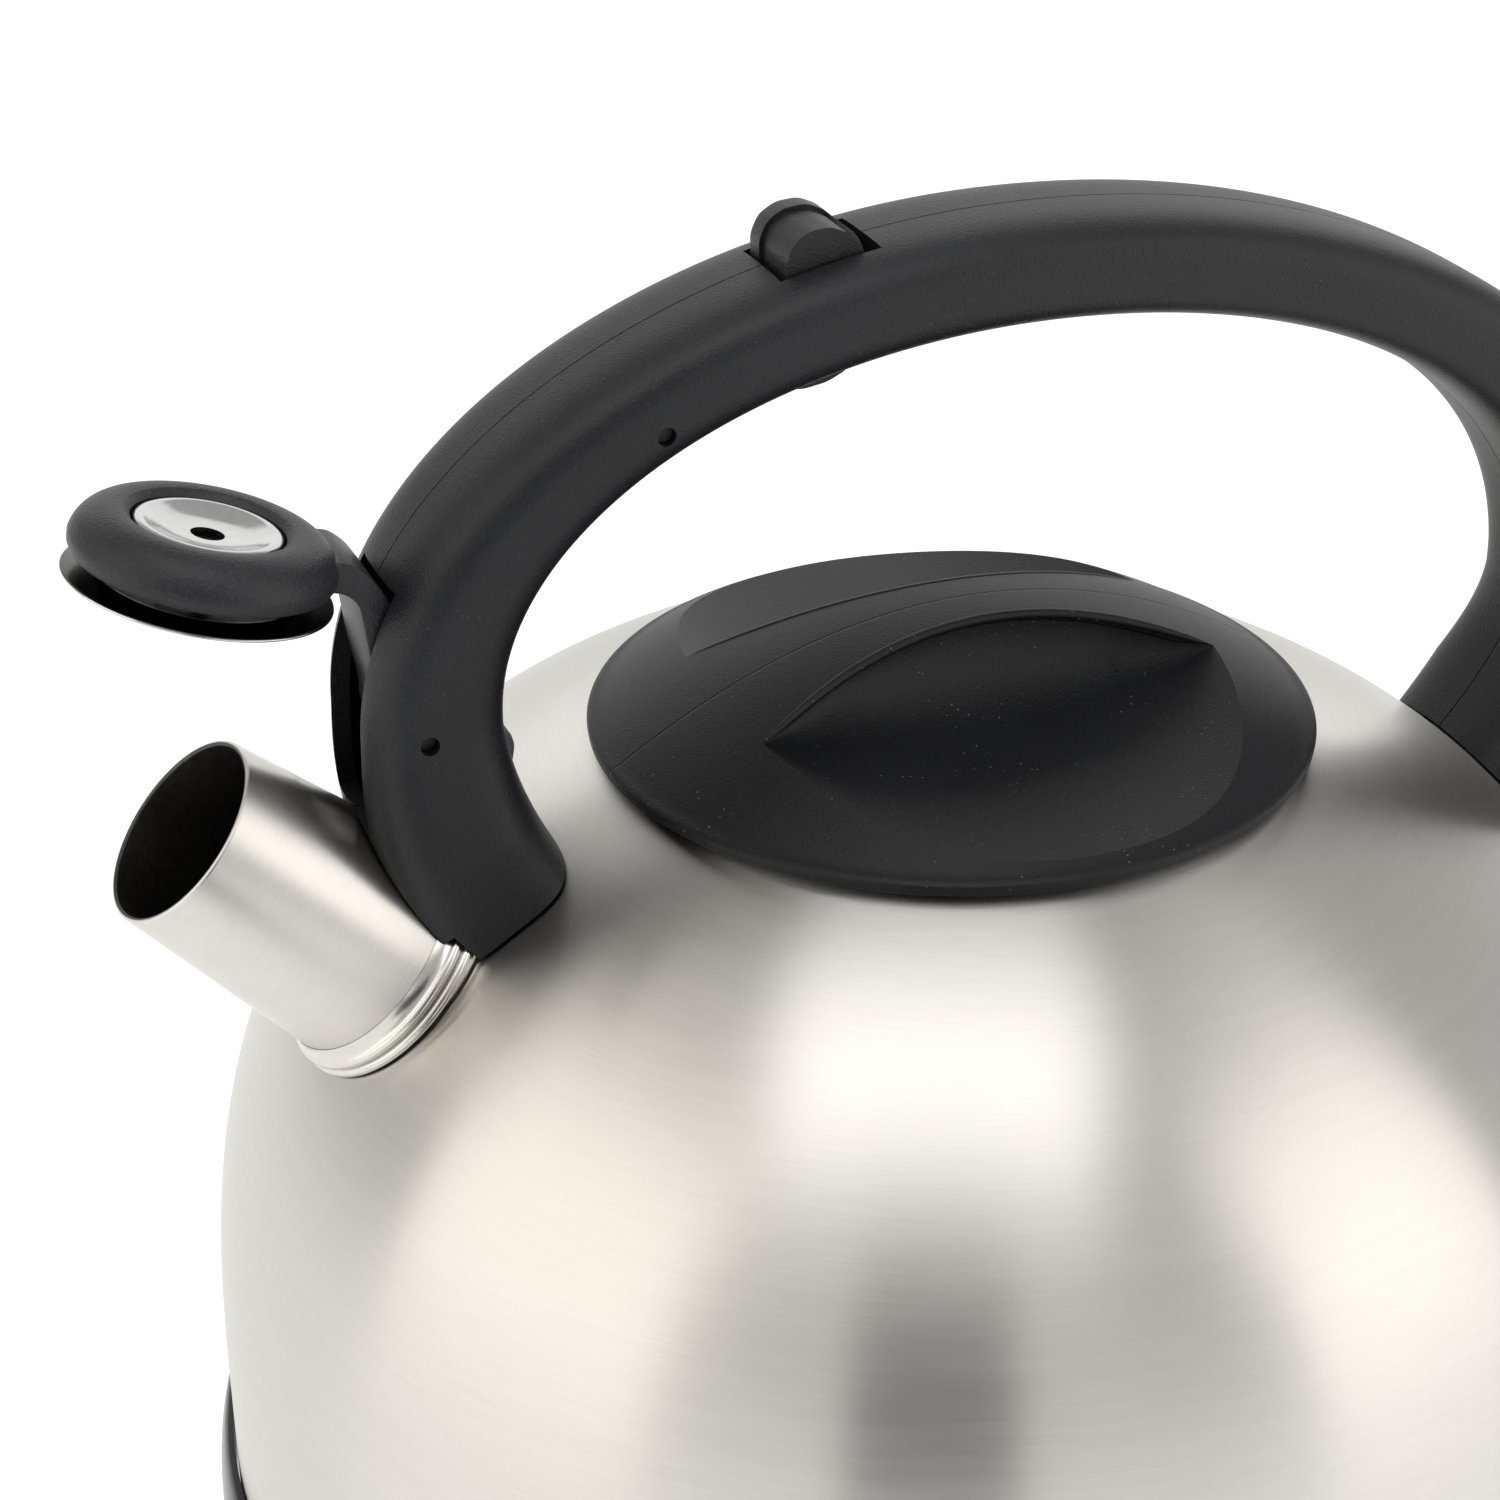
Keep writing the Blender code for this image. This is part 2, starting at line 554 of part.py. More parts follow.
# ------------------------------------------------------------------ lever
def thumb_lever():
    """Rocker: tab above the handle, trigger below it, limb and fork in front."""
    bx, bz = ROCKER.x / MM, ROCKER.z / MM
    head = [(-28.4, 203.0), (-27.9, 207.0), (-28.0, 209.4), (-26.8, 211.7), (-24.4, 213.2),
            (-21.2, 213.5), (-18.8, 212.3), (-17.2, 210.3), (-16.0, 208.0), (-15.9, 200.0)]
    trigger = [(-16.6, 195.2), (-18.8, 192.9), (-21.6, 191.6), (-25.0, 191.1), (-28.2, 191.5),
               (-30.6, 193.2)]
    outline = head + trigger + [(-32.0, 196.6), (-39.0, 193.4)] + arc((bx, bz), 2.9, -35, -80, 4)
    outline += [(-57.0, 181.2), (-65.6, 173.0), (-70.4, 165.0)]
    outline += [(-70.6, 158.0), (-75.0, 160.4), (-74.0, 166.0), (-67.7, 176.4), (-58.3, 185.4)]
    outline += arc((bx, bz), 2.9, 190, 60, 6) + [(-32.0, 200.0)]
    lever = extruded("thumb_lever", [(x * MM, z * MM) for x, z in outline],
                     -LEVER_HALF, LEVER_HALF, black("lever_black"), pivot=ROCKER)
    for side in (-1, 1):
        for part, half, end in (("limb", LIMB_HALF, -50.0), ("hub", HUB_HALF, -41.0)):
            low, high = sorted((side * half, side * 20 * MM))
            boolean(lever, block(f"{part}_side_{side}", Vector((-95 * MM, low, 140 * MM)),
                                 Vector((end * MM, high, 200 * MM))))
    tip = crank_pin_place()
    along = (tip - ROCKER).normalized()
    across = Vector((-along.z, 0.0, along.x))
    prong = []
    for a, b in ((0.9, 1.0), (0.9, -1.0), (-9.5, -0.85), (-9.5, 0.85)):
        spot = tip + along * (a * MM) + across * (b * FORK_HALF)
        prong.append((spot.x, spot.z))
    form = extruded("fork_form", prong, -LIMB_HALF, LIMB_HALF)
    boolean(lever, as_cutter(form), 'UNION')
    slot = []
    for a, b in ((6.0, 1.0), (6.0, -1.0), (-4.4, -1.0), (-4.4, 1.0)):
        spot = tip + along * (a * MM) + across * (b * FORK_SLOT)
        slot.append((spot.x, spot.z))
    boolean(lever, as_cutter(extruded("fork_slot", slot, -5 * MM, 5 * MM)))
    boolean(lever, as_cutter(rod("lever_bore", ROCKER, BORE_R, -20 * MM, 20 * MM)))


def lever_spring():
    """Torsion spring on the lever's pin, with one leg on each part."""
    turns, steps, coil, wire = 3, 12, 1.9 * MM, 0.3 * MM
    start, pitch = LEVER_HALF + 0.7 * MM, 0.72 * MM
    points = []
    for i in range(turns * steps + 1):
        a = math.pi / 2 + 2 * math.pi * i / steps
        points.append((ROCKER.x + coil * math.cos(a), start + pitch * i / steps,
                       ROCKER.z + coil * math.sin(a)))
    first, last = points[0], points[-1]
    points.insert(0, (first[0] + 3.2 * MM, first[1], first[2]))
    points.append((last[0] - 3.2 * MM, last[1], last[2]))
    curve = bpy.data.curves.new("lever_spring", 'CURVE')
    curve.dimensions = '3D'
    curve.bevel_depth = wire
    curve.bevel_resolution = 1
    curve.use_fill_caps = True
    spline = curve.splines.new('POLY')
    spline.points.add(len(points) - 1)
    for point, spot in zip(spline.points, points):
        point.co = (*spot, 1.0)
    obj = bpy.data.objects.new("lever_spring", curve)
    bpy.context.scene.collection.objects.link(obj)
    curve.materials.append(steel("spring_steel"))


# -------------------------------------------------------------------- lid
def crown(radius):
    """Point (r, z) of the lid's upper surface."""
    return radius, LID_TOP - LID_CROWN * radius * radius


def scoop_section(x):
    """(distance from the middle plane, z) points of a scoop's section at x.

    It drops past the lip, goes under it, and sweeps down to the floor.
    """
    lip = LIP + LIP_BEND * (x - LIP_MID) ** 2
    floor = SCOOP_FLOOR + SCOOP_RISE * abs((x - SCOOP_MID) / SCOOP_REACH) ** 3
    edge = max(LID_TOP - LID_CROWN * (x * x + lip * lip), floor + 0.05 * MM)
    tall = edge - floor
    wall = lip - min(2.6 * MM, 0.25 * tall)
    thick = min(1.5 * MM, 0.3 * tall)
    fall = min(0.9 * MM, 0.1 * tall)
    drop, sweep = tall - thick - fall, min(SCOOP_HOLLOW, 1.9 * tall)
    above, beyond = LID_TOP + 8 * MM, LID_R + 10 * MM
    points = [(lip, above), (lip, edge - thick), (wall, edge - thick - fall)]
    for i in range(1, 8):
        a = math.pi / 2 * i / 7
        points.append((wall + sweep * (1 - math.cos(a)), floor + drop * (1 - math.sin(a))))
    return points + [(beyond, floor), (beyond, above)]


def scoop(side):
    """Cutter for one finger scoop, side -1 near and +1 far."""
    bm = bmesh.new()
    rings = []
    for i in range(SCOOP_STEPS + 1):
        x = SCOOP_MID + (SCOOP_REACH + 3 * MM) * (2 * i / SCOOP_STEPS - 1)
        rings.append([bm.verts.new((x, side * y, z)) for y, z in scoop_section(x)])
    for low, high in zip(rings, rings[1:]):
        for k in range(len(low)):
            j = (k + 1) % len(low)
            bm.faces.new((low[k], low[j], high[j], high[k]))
    bm.faces.new(rings[0])
    bm.faces.new(rings[-1])
    bmesh.ops.recalc_face_normals(bm, faces=bm.faces)
    return as_cutter(add_bmesh(f"scoop_{side}", bm))


def lid():
    """Black cover with two finger scoops, steel plug, seal, screw and washer."""
    outline = [crown(r * MM) for r in (0, 10, 20, 29, 37, 44, 50)]
    outline += [(LID_R - 0.4 * MM, LID_RIM_Z + 0.5 * MM), (LID_R, LID_RIM_Z),
                (LID_R - 0.2 * MM, LID_RIM_Z - 0.7 * MM),
                (LID_R - 0.8 * MM, LID_RIM_Z - 1.2 * MM),
                (LID_R - 1.4 * MM, LID_RIM_Z - 1.2 * MM)]
    under, boss = LID_RIM_Z + 1.2 * MM, PLUG_FLOOR + 1.3 * MM
    outline += [(LID_R - 2.4 * MM, under), (6 * MM, under), (6 * MM, boss), (2.3 * MM, boss),
                (2.3 * MM, 142 * MM), (0.0, 142 * MM)]
    cover = turned("lid_cover", outline, 44, black("lid_black"))
    for side in (-1, 1):
        boolean(cover, scoop(side))

    flange, sheet = under - 0.4 * MM, 0.6 * MM
    plug = [(2.5 * MM, PLUG_FLOOR), (2.5 * MM, PLUG_FLOOR + sheet),
            (PLUG_R - 1.2 * MM, PLUG_FLOOR + sheet), (PLUG_R - sheet, PLUG_FLOOR + 1.2 * MM),
            (PLUG_R - sheet, flange), (48.3 * MM, flange), (48.3 * MM, flange - sheet),
            (PLUG_R, flange - sheet), (PLUG_R, PLUG_FLOOR + 1 * MM),
            (PLUG_R - 1 * MM, PLUG_FLOOR)]
    ribs = [(0.4, 7.6), (2.0, 7.2), (1.3, 6.0), (2.1, 5.2), (1.3, 4.0), (2.0, 3.0), (0.4, 2.6)]
    seal = [(PLUG_R + r * MM, PLUG_FLOOR + z * MM) for r, z in ribs]
    top, low = PLUG_FLOOR - 0.3 * MM, PLUG_FLOOR - 1 * MM
    washer = [(2.5 * MM, top), (6 * MM, top), (6 * MM, low), (2.5 * MM, low)]
    head = low - 0.3 * MM
    screw = [(0.0, 138.5 * MM), (1.9 * MM, 138.5 * MM), (1.9 * MM, head), (4.2 * MM, head),
             (4.2 * MM, head - 1.3 * MM), (3.2 * MM, head - 2.3 * MM), (0.0, head - 2.5 * MM)]
    return [cover, turned("lid_plug", plug, 36, steel("plug_steel")),
            turned("lid_seal", seal, 36, finish("seal_silicone", (0.75, 0.74, 0.72), 0.6, 0.0)),
            turned("lid_washer", washer, 24, steel("washer_steel")),
            turned("lid_screw", screw, 24, steel("screw_steel"))]


def main():
    """Build the whole kettle."""
    clear_scene()
    kettle_body()
    base()
    handle()
    brackets()
    spout()
    hang(whistle_carrier() + whistle_discs(), "whistle_axis", PIVOT)
    thumb_lever()
    lever_spring()
    hang(lid(), "lid_axis", (0.0, 0.0, LID_TOP))


main()
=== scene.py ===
"""Looks of a stovetop whistling kettle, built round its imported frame.

Every piece is in the frame's own metres: +Z up, the spout towards -X and the
handle in the XZ plane.  The origin is the centre of the base.
"""

import json
import logging
import math
from dataclasses import dataclass, field
from enum import Enum
from typing import Any, Sequence

import bpy
import numpy as np
from mathutils import Matrix, Vector

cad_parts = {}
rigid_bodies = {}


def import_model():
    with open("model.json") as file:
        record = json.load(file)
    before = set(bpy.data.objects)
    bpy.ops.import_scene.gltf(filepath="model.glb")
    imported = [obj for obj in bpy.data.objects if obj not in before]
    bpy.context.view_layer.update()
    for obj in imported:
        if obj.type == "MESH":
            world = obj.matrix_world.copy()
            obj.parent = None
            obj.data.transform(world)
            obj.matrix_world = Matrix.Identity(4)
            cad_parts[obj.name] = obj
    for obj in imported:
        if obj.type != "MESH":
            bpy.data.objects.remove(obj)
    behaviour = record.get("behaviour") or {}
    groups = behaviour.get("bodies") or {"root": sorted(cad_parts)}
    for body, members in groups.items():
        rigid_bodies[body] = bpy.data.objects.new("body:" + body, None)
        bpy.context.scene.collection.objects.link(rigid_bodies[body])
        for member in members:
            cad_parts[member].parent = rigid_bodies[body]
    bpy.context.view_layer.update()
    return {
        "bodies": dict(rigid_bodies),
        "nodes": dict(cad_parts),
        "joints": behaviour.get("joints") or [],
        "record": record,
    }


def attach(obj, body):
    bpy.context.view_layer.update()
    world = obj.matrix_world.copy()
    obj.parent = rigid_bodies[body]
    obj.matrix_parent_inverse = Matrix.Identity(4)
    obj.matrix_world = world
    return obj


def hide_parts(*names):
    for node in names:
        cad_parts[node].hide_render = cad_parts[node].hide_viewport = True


LOG = logging.getLogger("kettle")
MM = 0.001
GAP = 0.35 * MM
SHARP = 32.0                # degrees between faces above which an edge stays sharp
BEVEL_ANGLE = 40.0          # degrees between faces above which an edge is rounded
CURVE_POINTS = 5            # points on each rounded corner of an outline
THROUGH = 20.0              # mm, half length of a tool that goes right through a piece
PIVOT_BORE = 1.55           # mm, radius of the moving parts' pivot bores
Array = np.ndarray
Colour = tuple[float, float, float]


# ------------------------------------------------------------ shader graph
class Signal:
    """A node's output, with number maths as Python operators."""

    def __init__(self, graph: "Graph", socket: bpy.types.NodeSocket) -> None:
        """Keep the socket and the graph that it belongs to."""
        self.graph = graph
        self.socket = socket

    def _math(self, operation: str, *values: Any) -> "Signal":
        """Add one Math node.

        Args:
            operation: The Math node's operation.
            values: Its inputs in order.

        Returns:
            The node's result.
        """
        return self.graph.node("ShaderNodeMath", {"operation": operation},
                               dict(enumerate(values)))

    def __add__(self, other: Any) -> "Signal":
        """Sum."""
        return self._math("ADD", self, other)

    def __radd__(self, other: Any) -> "Signal":
        """Sum, with the number first."""
        return self._math("ADD", other, self)

    def __sub__(self, other: Any) -> "Signal":
        """Difference."""
        return self._math("SUBTRACT", self, other)

    def __rsub__(self, other: Any) -> "Signal":
        """Difference, with the number first."""
        return self._math("SUBTRACT", other, self)

    def __mul__(self, other: Any) -> "Signal":
        """Product."""
        return self._math("MULTIPLY", self, other)

    def __rmul__(self, other: Any) -> "Signal":
        """Product, with the number first."""
        return self._math("MULTIPLY", other, self)

    def __truediv__(self, other: Any) -> "Signal":
        """Quotient."""
        return self._math("DIVIDE", self, other)

    def __rtruediv__(self, other: Any) -> "Signal":
        """Quotient, with the number first."""
        return self._math("DIVIDE", other, self)

    def below(self, limit: float) -> "Signal":
        """One where the value is below the limit, else nought."""
        return self._math("LESS_THAN", self, limit)

    def size(self) -> "Signal":
        """Absolute value."""
        return self._math("ABSOLUTE", self)

    def root(self) -> "Signal":
        """Square root."""
        return self._math("SQRT", self)

    def ramp(self, low: float, high: float) -> "Signal":
        """Smooth step from nought to one while the value goes from low to high.

        Args:
            low: Value where the step starts.
            high: Value where it ends.

        Returns:
            The stepped value.
        """
        return self.graph.node("ShaderNodeMapRange", {"interpolation_type": "SMOOTHSTEP"},
                               {"From Min": low, "From Max": high, "Value": self})


class Graph:
    """Node tree of one material."""

    def __init__(self, name: str) -> None:
        """Make the material and keep its Principled shader."""
        self.material = bpy.data.materials.new(name)
        self.material.use_nodes = True
        self.tree = self.material.node_tree
        self.shader = self.tree.nodes["Principled BSDF"]

    def node(self, kind: str, settings: dict[str, Any], inputs: dict[Any, Any],
             output: Any = 0) -> Signal:
        """Add one node.

        Args:
            kind: The node's type.
            settings: Properties set before its sockets.
            inputs: Value or Signal for each socket, by index or name.
            output: Which output to return.

        Returns:
            The chosen output.
        """
        made = self.tree.nodes.new(kind)
        for key, value in settings.items():
            setattr(made, key, value)
        for key, value in inputs.items():
            if isinstance(value, Signal):
                self.tree.links.new(value.socket, made.inputs[key])
            else:
                made.inputs[key].default_value = value
        return Signal(self, made.outputs[output])

    def place(self) -> Signal:
        """Object coordinates, which are the frame's metres."""
        return self.node("ShaderNodeTexCoord", {}, {}, "Object")

    def parts(self, vector: Signal) -> tuple[Signal, Signal, Signal]:
        """Split a vector.

        Args:
            vector: The vector.

        Returns:
            Its X, Y and Z.
        """
        first = self.node("ShaderNodeSeparateXYZ", {}, {0: vector})
        node = first.socket.node
        return tuple(Signal(self, node.outputs[i]) for i in range(3))

    def vector(self, x: Any, y: Any, z: Any) -> Signal:
        """A vector from three numbers."""
        return self.node("ShaderNodeCombineXYZ", {}, {0: x, 1: y, 2: z})

    def noise(self, vector: Signal, scale: float, detail: float = 2.0) -> Signal:
        """Noise from nought to one."""
        return self.node("ShaderNodeTexNoise", {}, {"Vector": vector, "Scale": scale,
                                                    "Detail": detail, "Roughness": 0.55})

    def blend(self, factor: Any, low: Colour | Signal, high: Colour | Signal) -> Signal:
        """Colour between two colours."""
        ends = [value if isinstance(value, Signal) else (*value, 1.0) for value in (low, high)]
        return self.node("ShaderNodeMix", {"data_type": "RGBA"},
                         {0: factor, 6: ends[0], 7: ends[1]}, 2)

    def fixed(self, **values: Any) -> None:
        """Constants on the shader's own sockets, with _ for a blank in the name."""
        for key, value in values.items():
            self.shader.inputs[key.replace("_", " ")].default_value = value

    def feed(self, socket: str, signal: Signal) -> None:
        """Link a signal to one of the shader's sockets."""
        self.tree.links.new(signal.socket, self.shader.inputs[socket])

    def bump(self, height: Signal, distance: float) -> None:
        """Feed the shader's Normal from a height."""
        self.feed("Normal", self.node("ShaderNodeBump", {},
                                      {"Strength": 1.0, "Distance": distance,
                                       "Height": height}))


# ---------------------------------------------------------------- finishes
class Grain(Enum):
    """Which way the brush marks run."""

    ROUND_AXIS = "round the upright axis"
    ROUND_SPOUT = "round the spout's axis"
    NONE = "none"


@dataclass(frozen=True)
class Steel:
    """Stainless steel, brushed or polished."""

    colour: Colour = (0.66, 0.64, 0.605)
    tint: Colour = (0.62, 0.60, 0.565)
    roughness: float = 0.30
    spread: float = 0.10
    anisotropy: float = 0.0
    grain: Grain = Grain.NONE
    along: float = 9.0             # brush marks per radian
    across: float = 3600.0         # brush marks per metre
    broad_along: float = 3.0       # wide streaks per radian
    broad_share: float = 0.3       # how much of the tone the wide streaks make
    streak: float = 12.0           # brush marks in the width of a streak
    mottle: float = 900.0          # spots per metre where there are no brush marks
    broad_mottle: float = 30.0
    depth: float = 0.008 * MM
    axis_tilt: float = 0.0
    axis_place: tuple[float, float, float] = (0.0, 0.0, 0.0)

    def material(self, name: str) -> bpy.types.Material:
        """Make the steel.

        Brush marks are noise that is long round the axis and fine along it.
        The point's direction round the axis and its distance along the
        profile, height less radius, are the noise's coordinates.  Wide
        streaks are the same noise at fewer marks.

        Args:
            name: The material's name.

        Returns:
            The material.
        """
        graph = Graph(name)
        graph.fixed(Metallic=1.0, Anisotropic=self.anisotropy, Anisotropic_Rotation=0.25)
        place = graph.place()
        if self.grain is Grain.ROUND_SPOUT:
            place = graph.node("ShaderNodeMapping", {"vector_type": "TEXTURE"},
                               {0: place, 1: self.axis_place, 2: (0.0, self.axis_tilt, 0.0)})
        if self.grain is Grain.NONE:
            marks = graph.noise(place, self.mottle, 3.0)
            broad = graph.noise(place, self.broad_mottle)
        else:
            x, y, z = graph.parts(place)
            radius = (x * x + y * y).root() + 0.1 * MM
            slide = z - radius
            marks = graph.noise(graph.vector(x / radius * self.along, y / radius * self.along,
                                             slide * self.across), 1.0, 4.0)
            broad = graph.noise(graph.vector(x / radius * self.broad_along,
                                             y / radius * self.broad_along,
                                             slide * (self.across / self.streak)), 1.0)
        mix = marks * (1 - self.broad_share) + broad * self.broad_share
        graph.feed("Base Color", graph.blend(mix.ramp(0.3, 0.7), self.tint, self.colour))
        graph.feed("Roughness", mix * self.spread + (self.roughness - self.spread / 2))
        graph.bump(marks, self.depth)
        return graph.material


@dataclass(frozen=True)
class Plastic:
    """Satin moulded black plastic with fine spark grain, and dust on it."""

    colour: Colour = (0.0055, 0.0058, 0.0072)
    light: Colour = (0.0120, 0.0126, 0.0150)
    roughness: float = 0.42
    spread: float = 0.16
    shine: float = 0.34
    grain: float = 2800.0          # spark marks per metre
    patch: float = 38.0            # pale patches per metre
    patch_share: float = 0.45      # how much of the tone the patches make
    depth: float = 0.10 * MM
    dust: float = 0.0
    dust_colour: Colour = (0.10, 0.097, 0.09)
    specks: float = 760.0          # places for a speck per metre
    speck_size: float = 0.11       # speck's radius as a share of its place
    drift: float = 110.0           # dusty areas per metre
    seam: float | None = None
    seam_colour: Colour = (0.006, 0.006, 0.006)
    seam_half: float = 0.12 * MM

    def material(self, name: str) -> bpy.types.Material:
        """Make the plastic.

        The tone is fine grain with pale patches, a dust speck is the middle of
        a Voronoi cell inside a dusty area, and a seam is a dark line at one y.

        Args:
            name: The material's name.

        Returns:
            The material.
        """
        graph = Graph(name)
        graph.fixed(Metallic=0.0, Specular_IOR_Level=self.shine)
        place = graph.place()
        fine = graph.noise(place, self.grain)
        broad = graph.noise(place, self.patch, 3.0)
        tone = fine * (1 - self.patch_share) + broad * self.patch_share
        colour = graph.blend(tone.ramp(0.35, 0.68), self.colour, self.light)
        rough = tone * self.spread + (self.roughness - self.spread / 2)
        if self.dust > 0.0:
            cell = graph.node("ShaderNodeTexVoronoi", {}, {"Vector": place, "Scale": self.specks,
                                                           "Randomness": 1.0}, "Distance")
            chosen = graph.noise(place, self.drift)
            speck = cell.below(self.speck_size) * chosen.ramp(0.46, 0.62) * self.dust
            colour = graph.blend(speck, colour, self.dust_colour)
            rough = rough + speck * 0.3
        if self.seam is not None:
            _, y, _ = graph.parts(place)
            line = (y - self.seam).size().ramp(self.seam_half, self.seam_half * 2.5)
            colour = graph.blend(line, self.seam_colour, colour)
            graph.bump(fine * 0.25 + line, self.depth * 4)
        else:
            graph.bump(fine, self.depth)
        graph.feed("Base Color", colour)
        graph.feed("Roughness", rough)
        return graph.material


@dataclass(frozen=True)
class Plain:
    """A plain finish with a little mottle, for small hidden parts and the floor."""

    colour: Colour
    roughness: float = 0.5
    spread: float = 0.08
    mottle: float = 0.08
    spots: float = 60.0            # spots of the mottle per metre
    glow: float = 0.0

    def material(self, name: str) -> bpy.types.Material:
        """Make the finish.

        Args:
            name: The material's name.

        Returns:
            The material.
        """
        graph = Graph(name)
        graph.fixed(Metallic=0.0)
        tone = graph.noise(graph.place(), self.spots)
        dark = tuple(c * (1 - self.mottle) for c in self.colour)
        graph.feed("Base Color", graph.blend(tone, dark, self.colour))
        graph.feed("Roughness", tone * self.spread + (self.roughness - self.spread / 2))
        if self.glow > 0.0:
            graph.fixed(Emission_Color=(*self.colour, 1.0), Emission_Strength=self.glow)
        return graph.material


# ---------------------------------------------------------------- geometry
def make_object(name: str, points: Array, faces: Sequence[Array]) -> bpy.types.Object:
    """Put points and faces into a new object at the origin.

    Args:
        name: The piece's name.
        points: Vertices in metres, in an array whose last axis is x, y and z.
        faces: Arrays of vertex numbers, one row for each face.

    Returns:
        The object, with its faces outwards.
    """
    mesh = bpy.data.meshes.new(name)
    rows = [face for group in faces for face in group.tolist()]
    mesh.from_pydata(points.reshape(-1, 3).tolist(), [], rows)
    mesh.validate()
    face_outwards(mesh)
    obj = bpy.data.objects.new(name, mesh)
    bpy.context.scene.collection.objects.link(obj)
    smooth(obj, SHARP)
    return obj


def face_outwards(mesh: bpy.types.Mesh) -> None:
    """Turn the faces of a closed mesh outwards.

    The signed volume is the sum of a . (b x c) / 6 over the triangles, and a
    mesh is flipped where it is negative.

    Args:
        mesh: The mesh.
    """
    mesh.calc_loop_triangles()
    spots = np.empty(len(mesh.vertices) * 3)
    mesh.vertices.foreach_get("co", spots)
    corners_of = np.empty(len(mesh.loop_triangles) * 3, np.int32)
    mesh.loop_triangles.foreach_get("vertices", corners_of)
    a, b, c = spots.reshape(-1, 3)[corners_of.reshape(-1, 3)].transpose(1, 0, 2)
    if np.sum(a * np.cross(b, c)) < 0:
        mesh.flip_normals()


def smooth(obj: bpy.types.Object, sharp: float) -> None:
    """Smooth shading, with edges over the angle kept sharp."""
    obj.data.shade_smooth()
    obj.data.set_sharp_from_angle(angle=math.radians(sharp))


def grid_faces(rows: int, cols: int, closed_rows: bool = False) -> Array:
    """Quads of a rows by cols grid of vertices, whose last column joins the first.

    Args:
        rows: Vertices along the first parameter.
        cols: Vertices along the second.
        closed_rows: Whether the last row joins the first too.

    Returns:
        (n, 4) vertex numbers.
    """
    i = np.arange(rows if closed_rows else rows - 1)[:, None]
    j = np.arange(cols)[None, :]
    i2, j2 = (i + 1) % rows, (j + 1) % cols
    quads = np.stack([i * cols + j, i * cols + j2, i2 * cols + j2, i2 * cols + j], axis=-1)
    return quads.reshape(-1, 4)


def lathe(name: str, profile: Array, steps: int,
          frame: Matrix | None = None) -> bpy.types.Object:
    """Turn a profile round Z.

    The point at angle a and profile point (r, z) is (r cos a, r sin a, z).
    A profile that starts and ends on the axis is closed there by fans; any
    other is closed into a ring.

    Args:
        name: The piece's name.
        profile: (n, 2) radii and heights that run down the outer side.
        steps: Number of sides.
        frame: Where the axis lies, if not upright on the origin.

    Returns:
        The object.
    """
    solid = bool(profile[0, 0] == 0.0 and profile[-1, 0] == 0.0)
    body = profile[1:-1] if solid else profile
    angle = 2 * math.pi * np.arange(steps) / steps
    ring = np.stack([np.outer(body[:, 0], np.cos(angle)), np.outer(body[:, 0], np.sin(angle)),
                     np.repeat(body[:, 1:2], steps, axis=1)], axis=-1)
    points = ring.reshape(-1, 3)
    groups = [grid_faces(len(body), steps, not solid)[:, ::-1]]
    if solid:
        top, low = len(points), len(points) + 1
        points = np.vstack([points, [[0, 0, profile[0, 1]], [0, 0, profile[-1, 1]]]])
        j = np.arange(steps)
        last = (len(body) - 1) * steps
        groups.append(np.stack([np.full(steps, top), j, (j + 1) % steps], axis=-1))
        groups.append(np.stack([np.full(steps, low), last + (j + 1) % steps, last + j],
                               axis=-1))
    if frame is not None:
        turn = np.array(frame)
        points = points @ turn[:3, :3].T + turn[:3, 3]
    return make_object(name, points, groups)


def prism(name: str, outline: Array, low: float, high: float) -> bpy.types.Object:
    """Straight solid along Y on an (x, z) outline.

    Args:
        name: The piece's name.
        outline: (n, 2) corners in metres.
        low: Lower y.
        high: Higher y.

    Returns:
        The object.
    """
    x, z = outline[:, 0], outline[:, 1]
    area = float(np.sum(x * np.roll(z, -1) - np.roll(x, -1) * z))
    if area < 0:
        x, z = x[::-1], z[::-1]
    count = len(x)
    ends = [np.stack([x, np.full(count, y), z], axis=-1) for y in (low, high)]
    caps = [np.arange(count)[None, :], np.arange(2 * count - 1, count - 1, -1)[None, :]]
    sides = grid_faces(2, count)[:, ::-1]
    return make_object(name, np.vstack(ends), [sides, *caps])


def slab(name: str, outline: Array, half: float) -> bpy.types.Object:
    """A prism in millimetres, as far to either side of the XZ plane."""
    return prism(name, outline * MM, -half * MM, half * MM)


def box(name: str, low: Sequence[float], high: Sequence[float]) -> bpy.types.Object:
    """A box between two corners, in millimetres."""
    outline = np.array([(low[0], low[2]), (high[0], low[2]), (high[0], high[2]),
                        (low[0], high[2])]) * MM
    return prism(name, outline, low[1] * MM, high[1] * MM)


def bore(name: str, centre: Sequence[float], radius: float) -> bpy.types.Object:
    """Tool for a round hole right through along Y.

    Args:
        name: The tool's name.
        centre: Its x and z in millimetres.
        radius: Its radius in millimetres.

    Returns:
        The tool.
    """
    steps = 40
    angle = 2 * math.pi * np.arange(steps) / steps
    outline = np.stack([centre[0] + radius * np.cos(angle), centre[1] + radius * np.sin(angle)],
                       axis=-1)
    return slab(name, outline, THROUGH)


def sweep(name: str, points: Array, flip: bool) -> bpy.types.Object:
    """Solid through a row of ring sections, with a flat face on each end.

    Args:
        name: The piece's name.
        points: (sections, points on each, 3) vertices in metres.
        flip: Whether the sections run the other way round.

    Returns:
        The object.
    """
    rows, cols = points.shape[:2]
    ring = np.arange(cols)[None, :]
    groups = [grid_faces(rows, cols), ring[:, ::-1], ring + (rows - 1) * cols]
    if flip:
        groups = [group[:, ::-1] for group in groups]
    return make_object(name, points, groups)


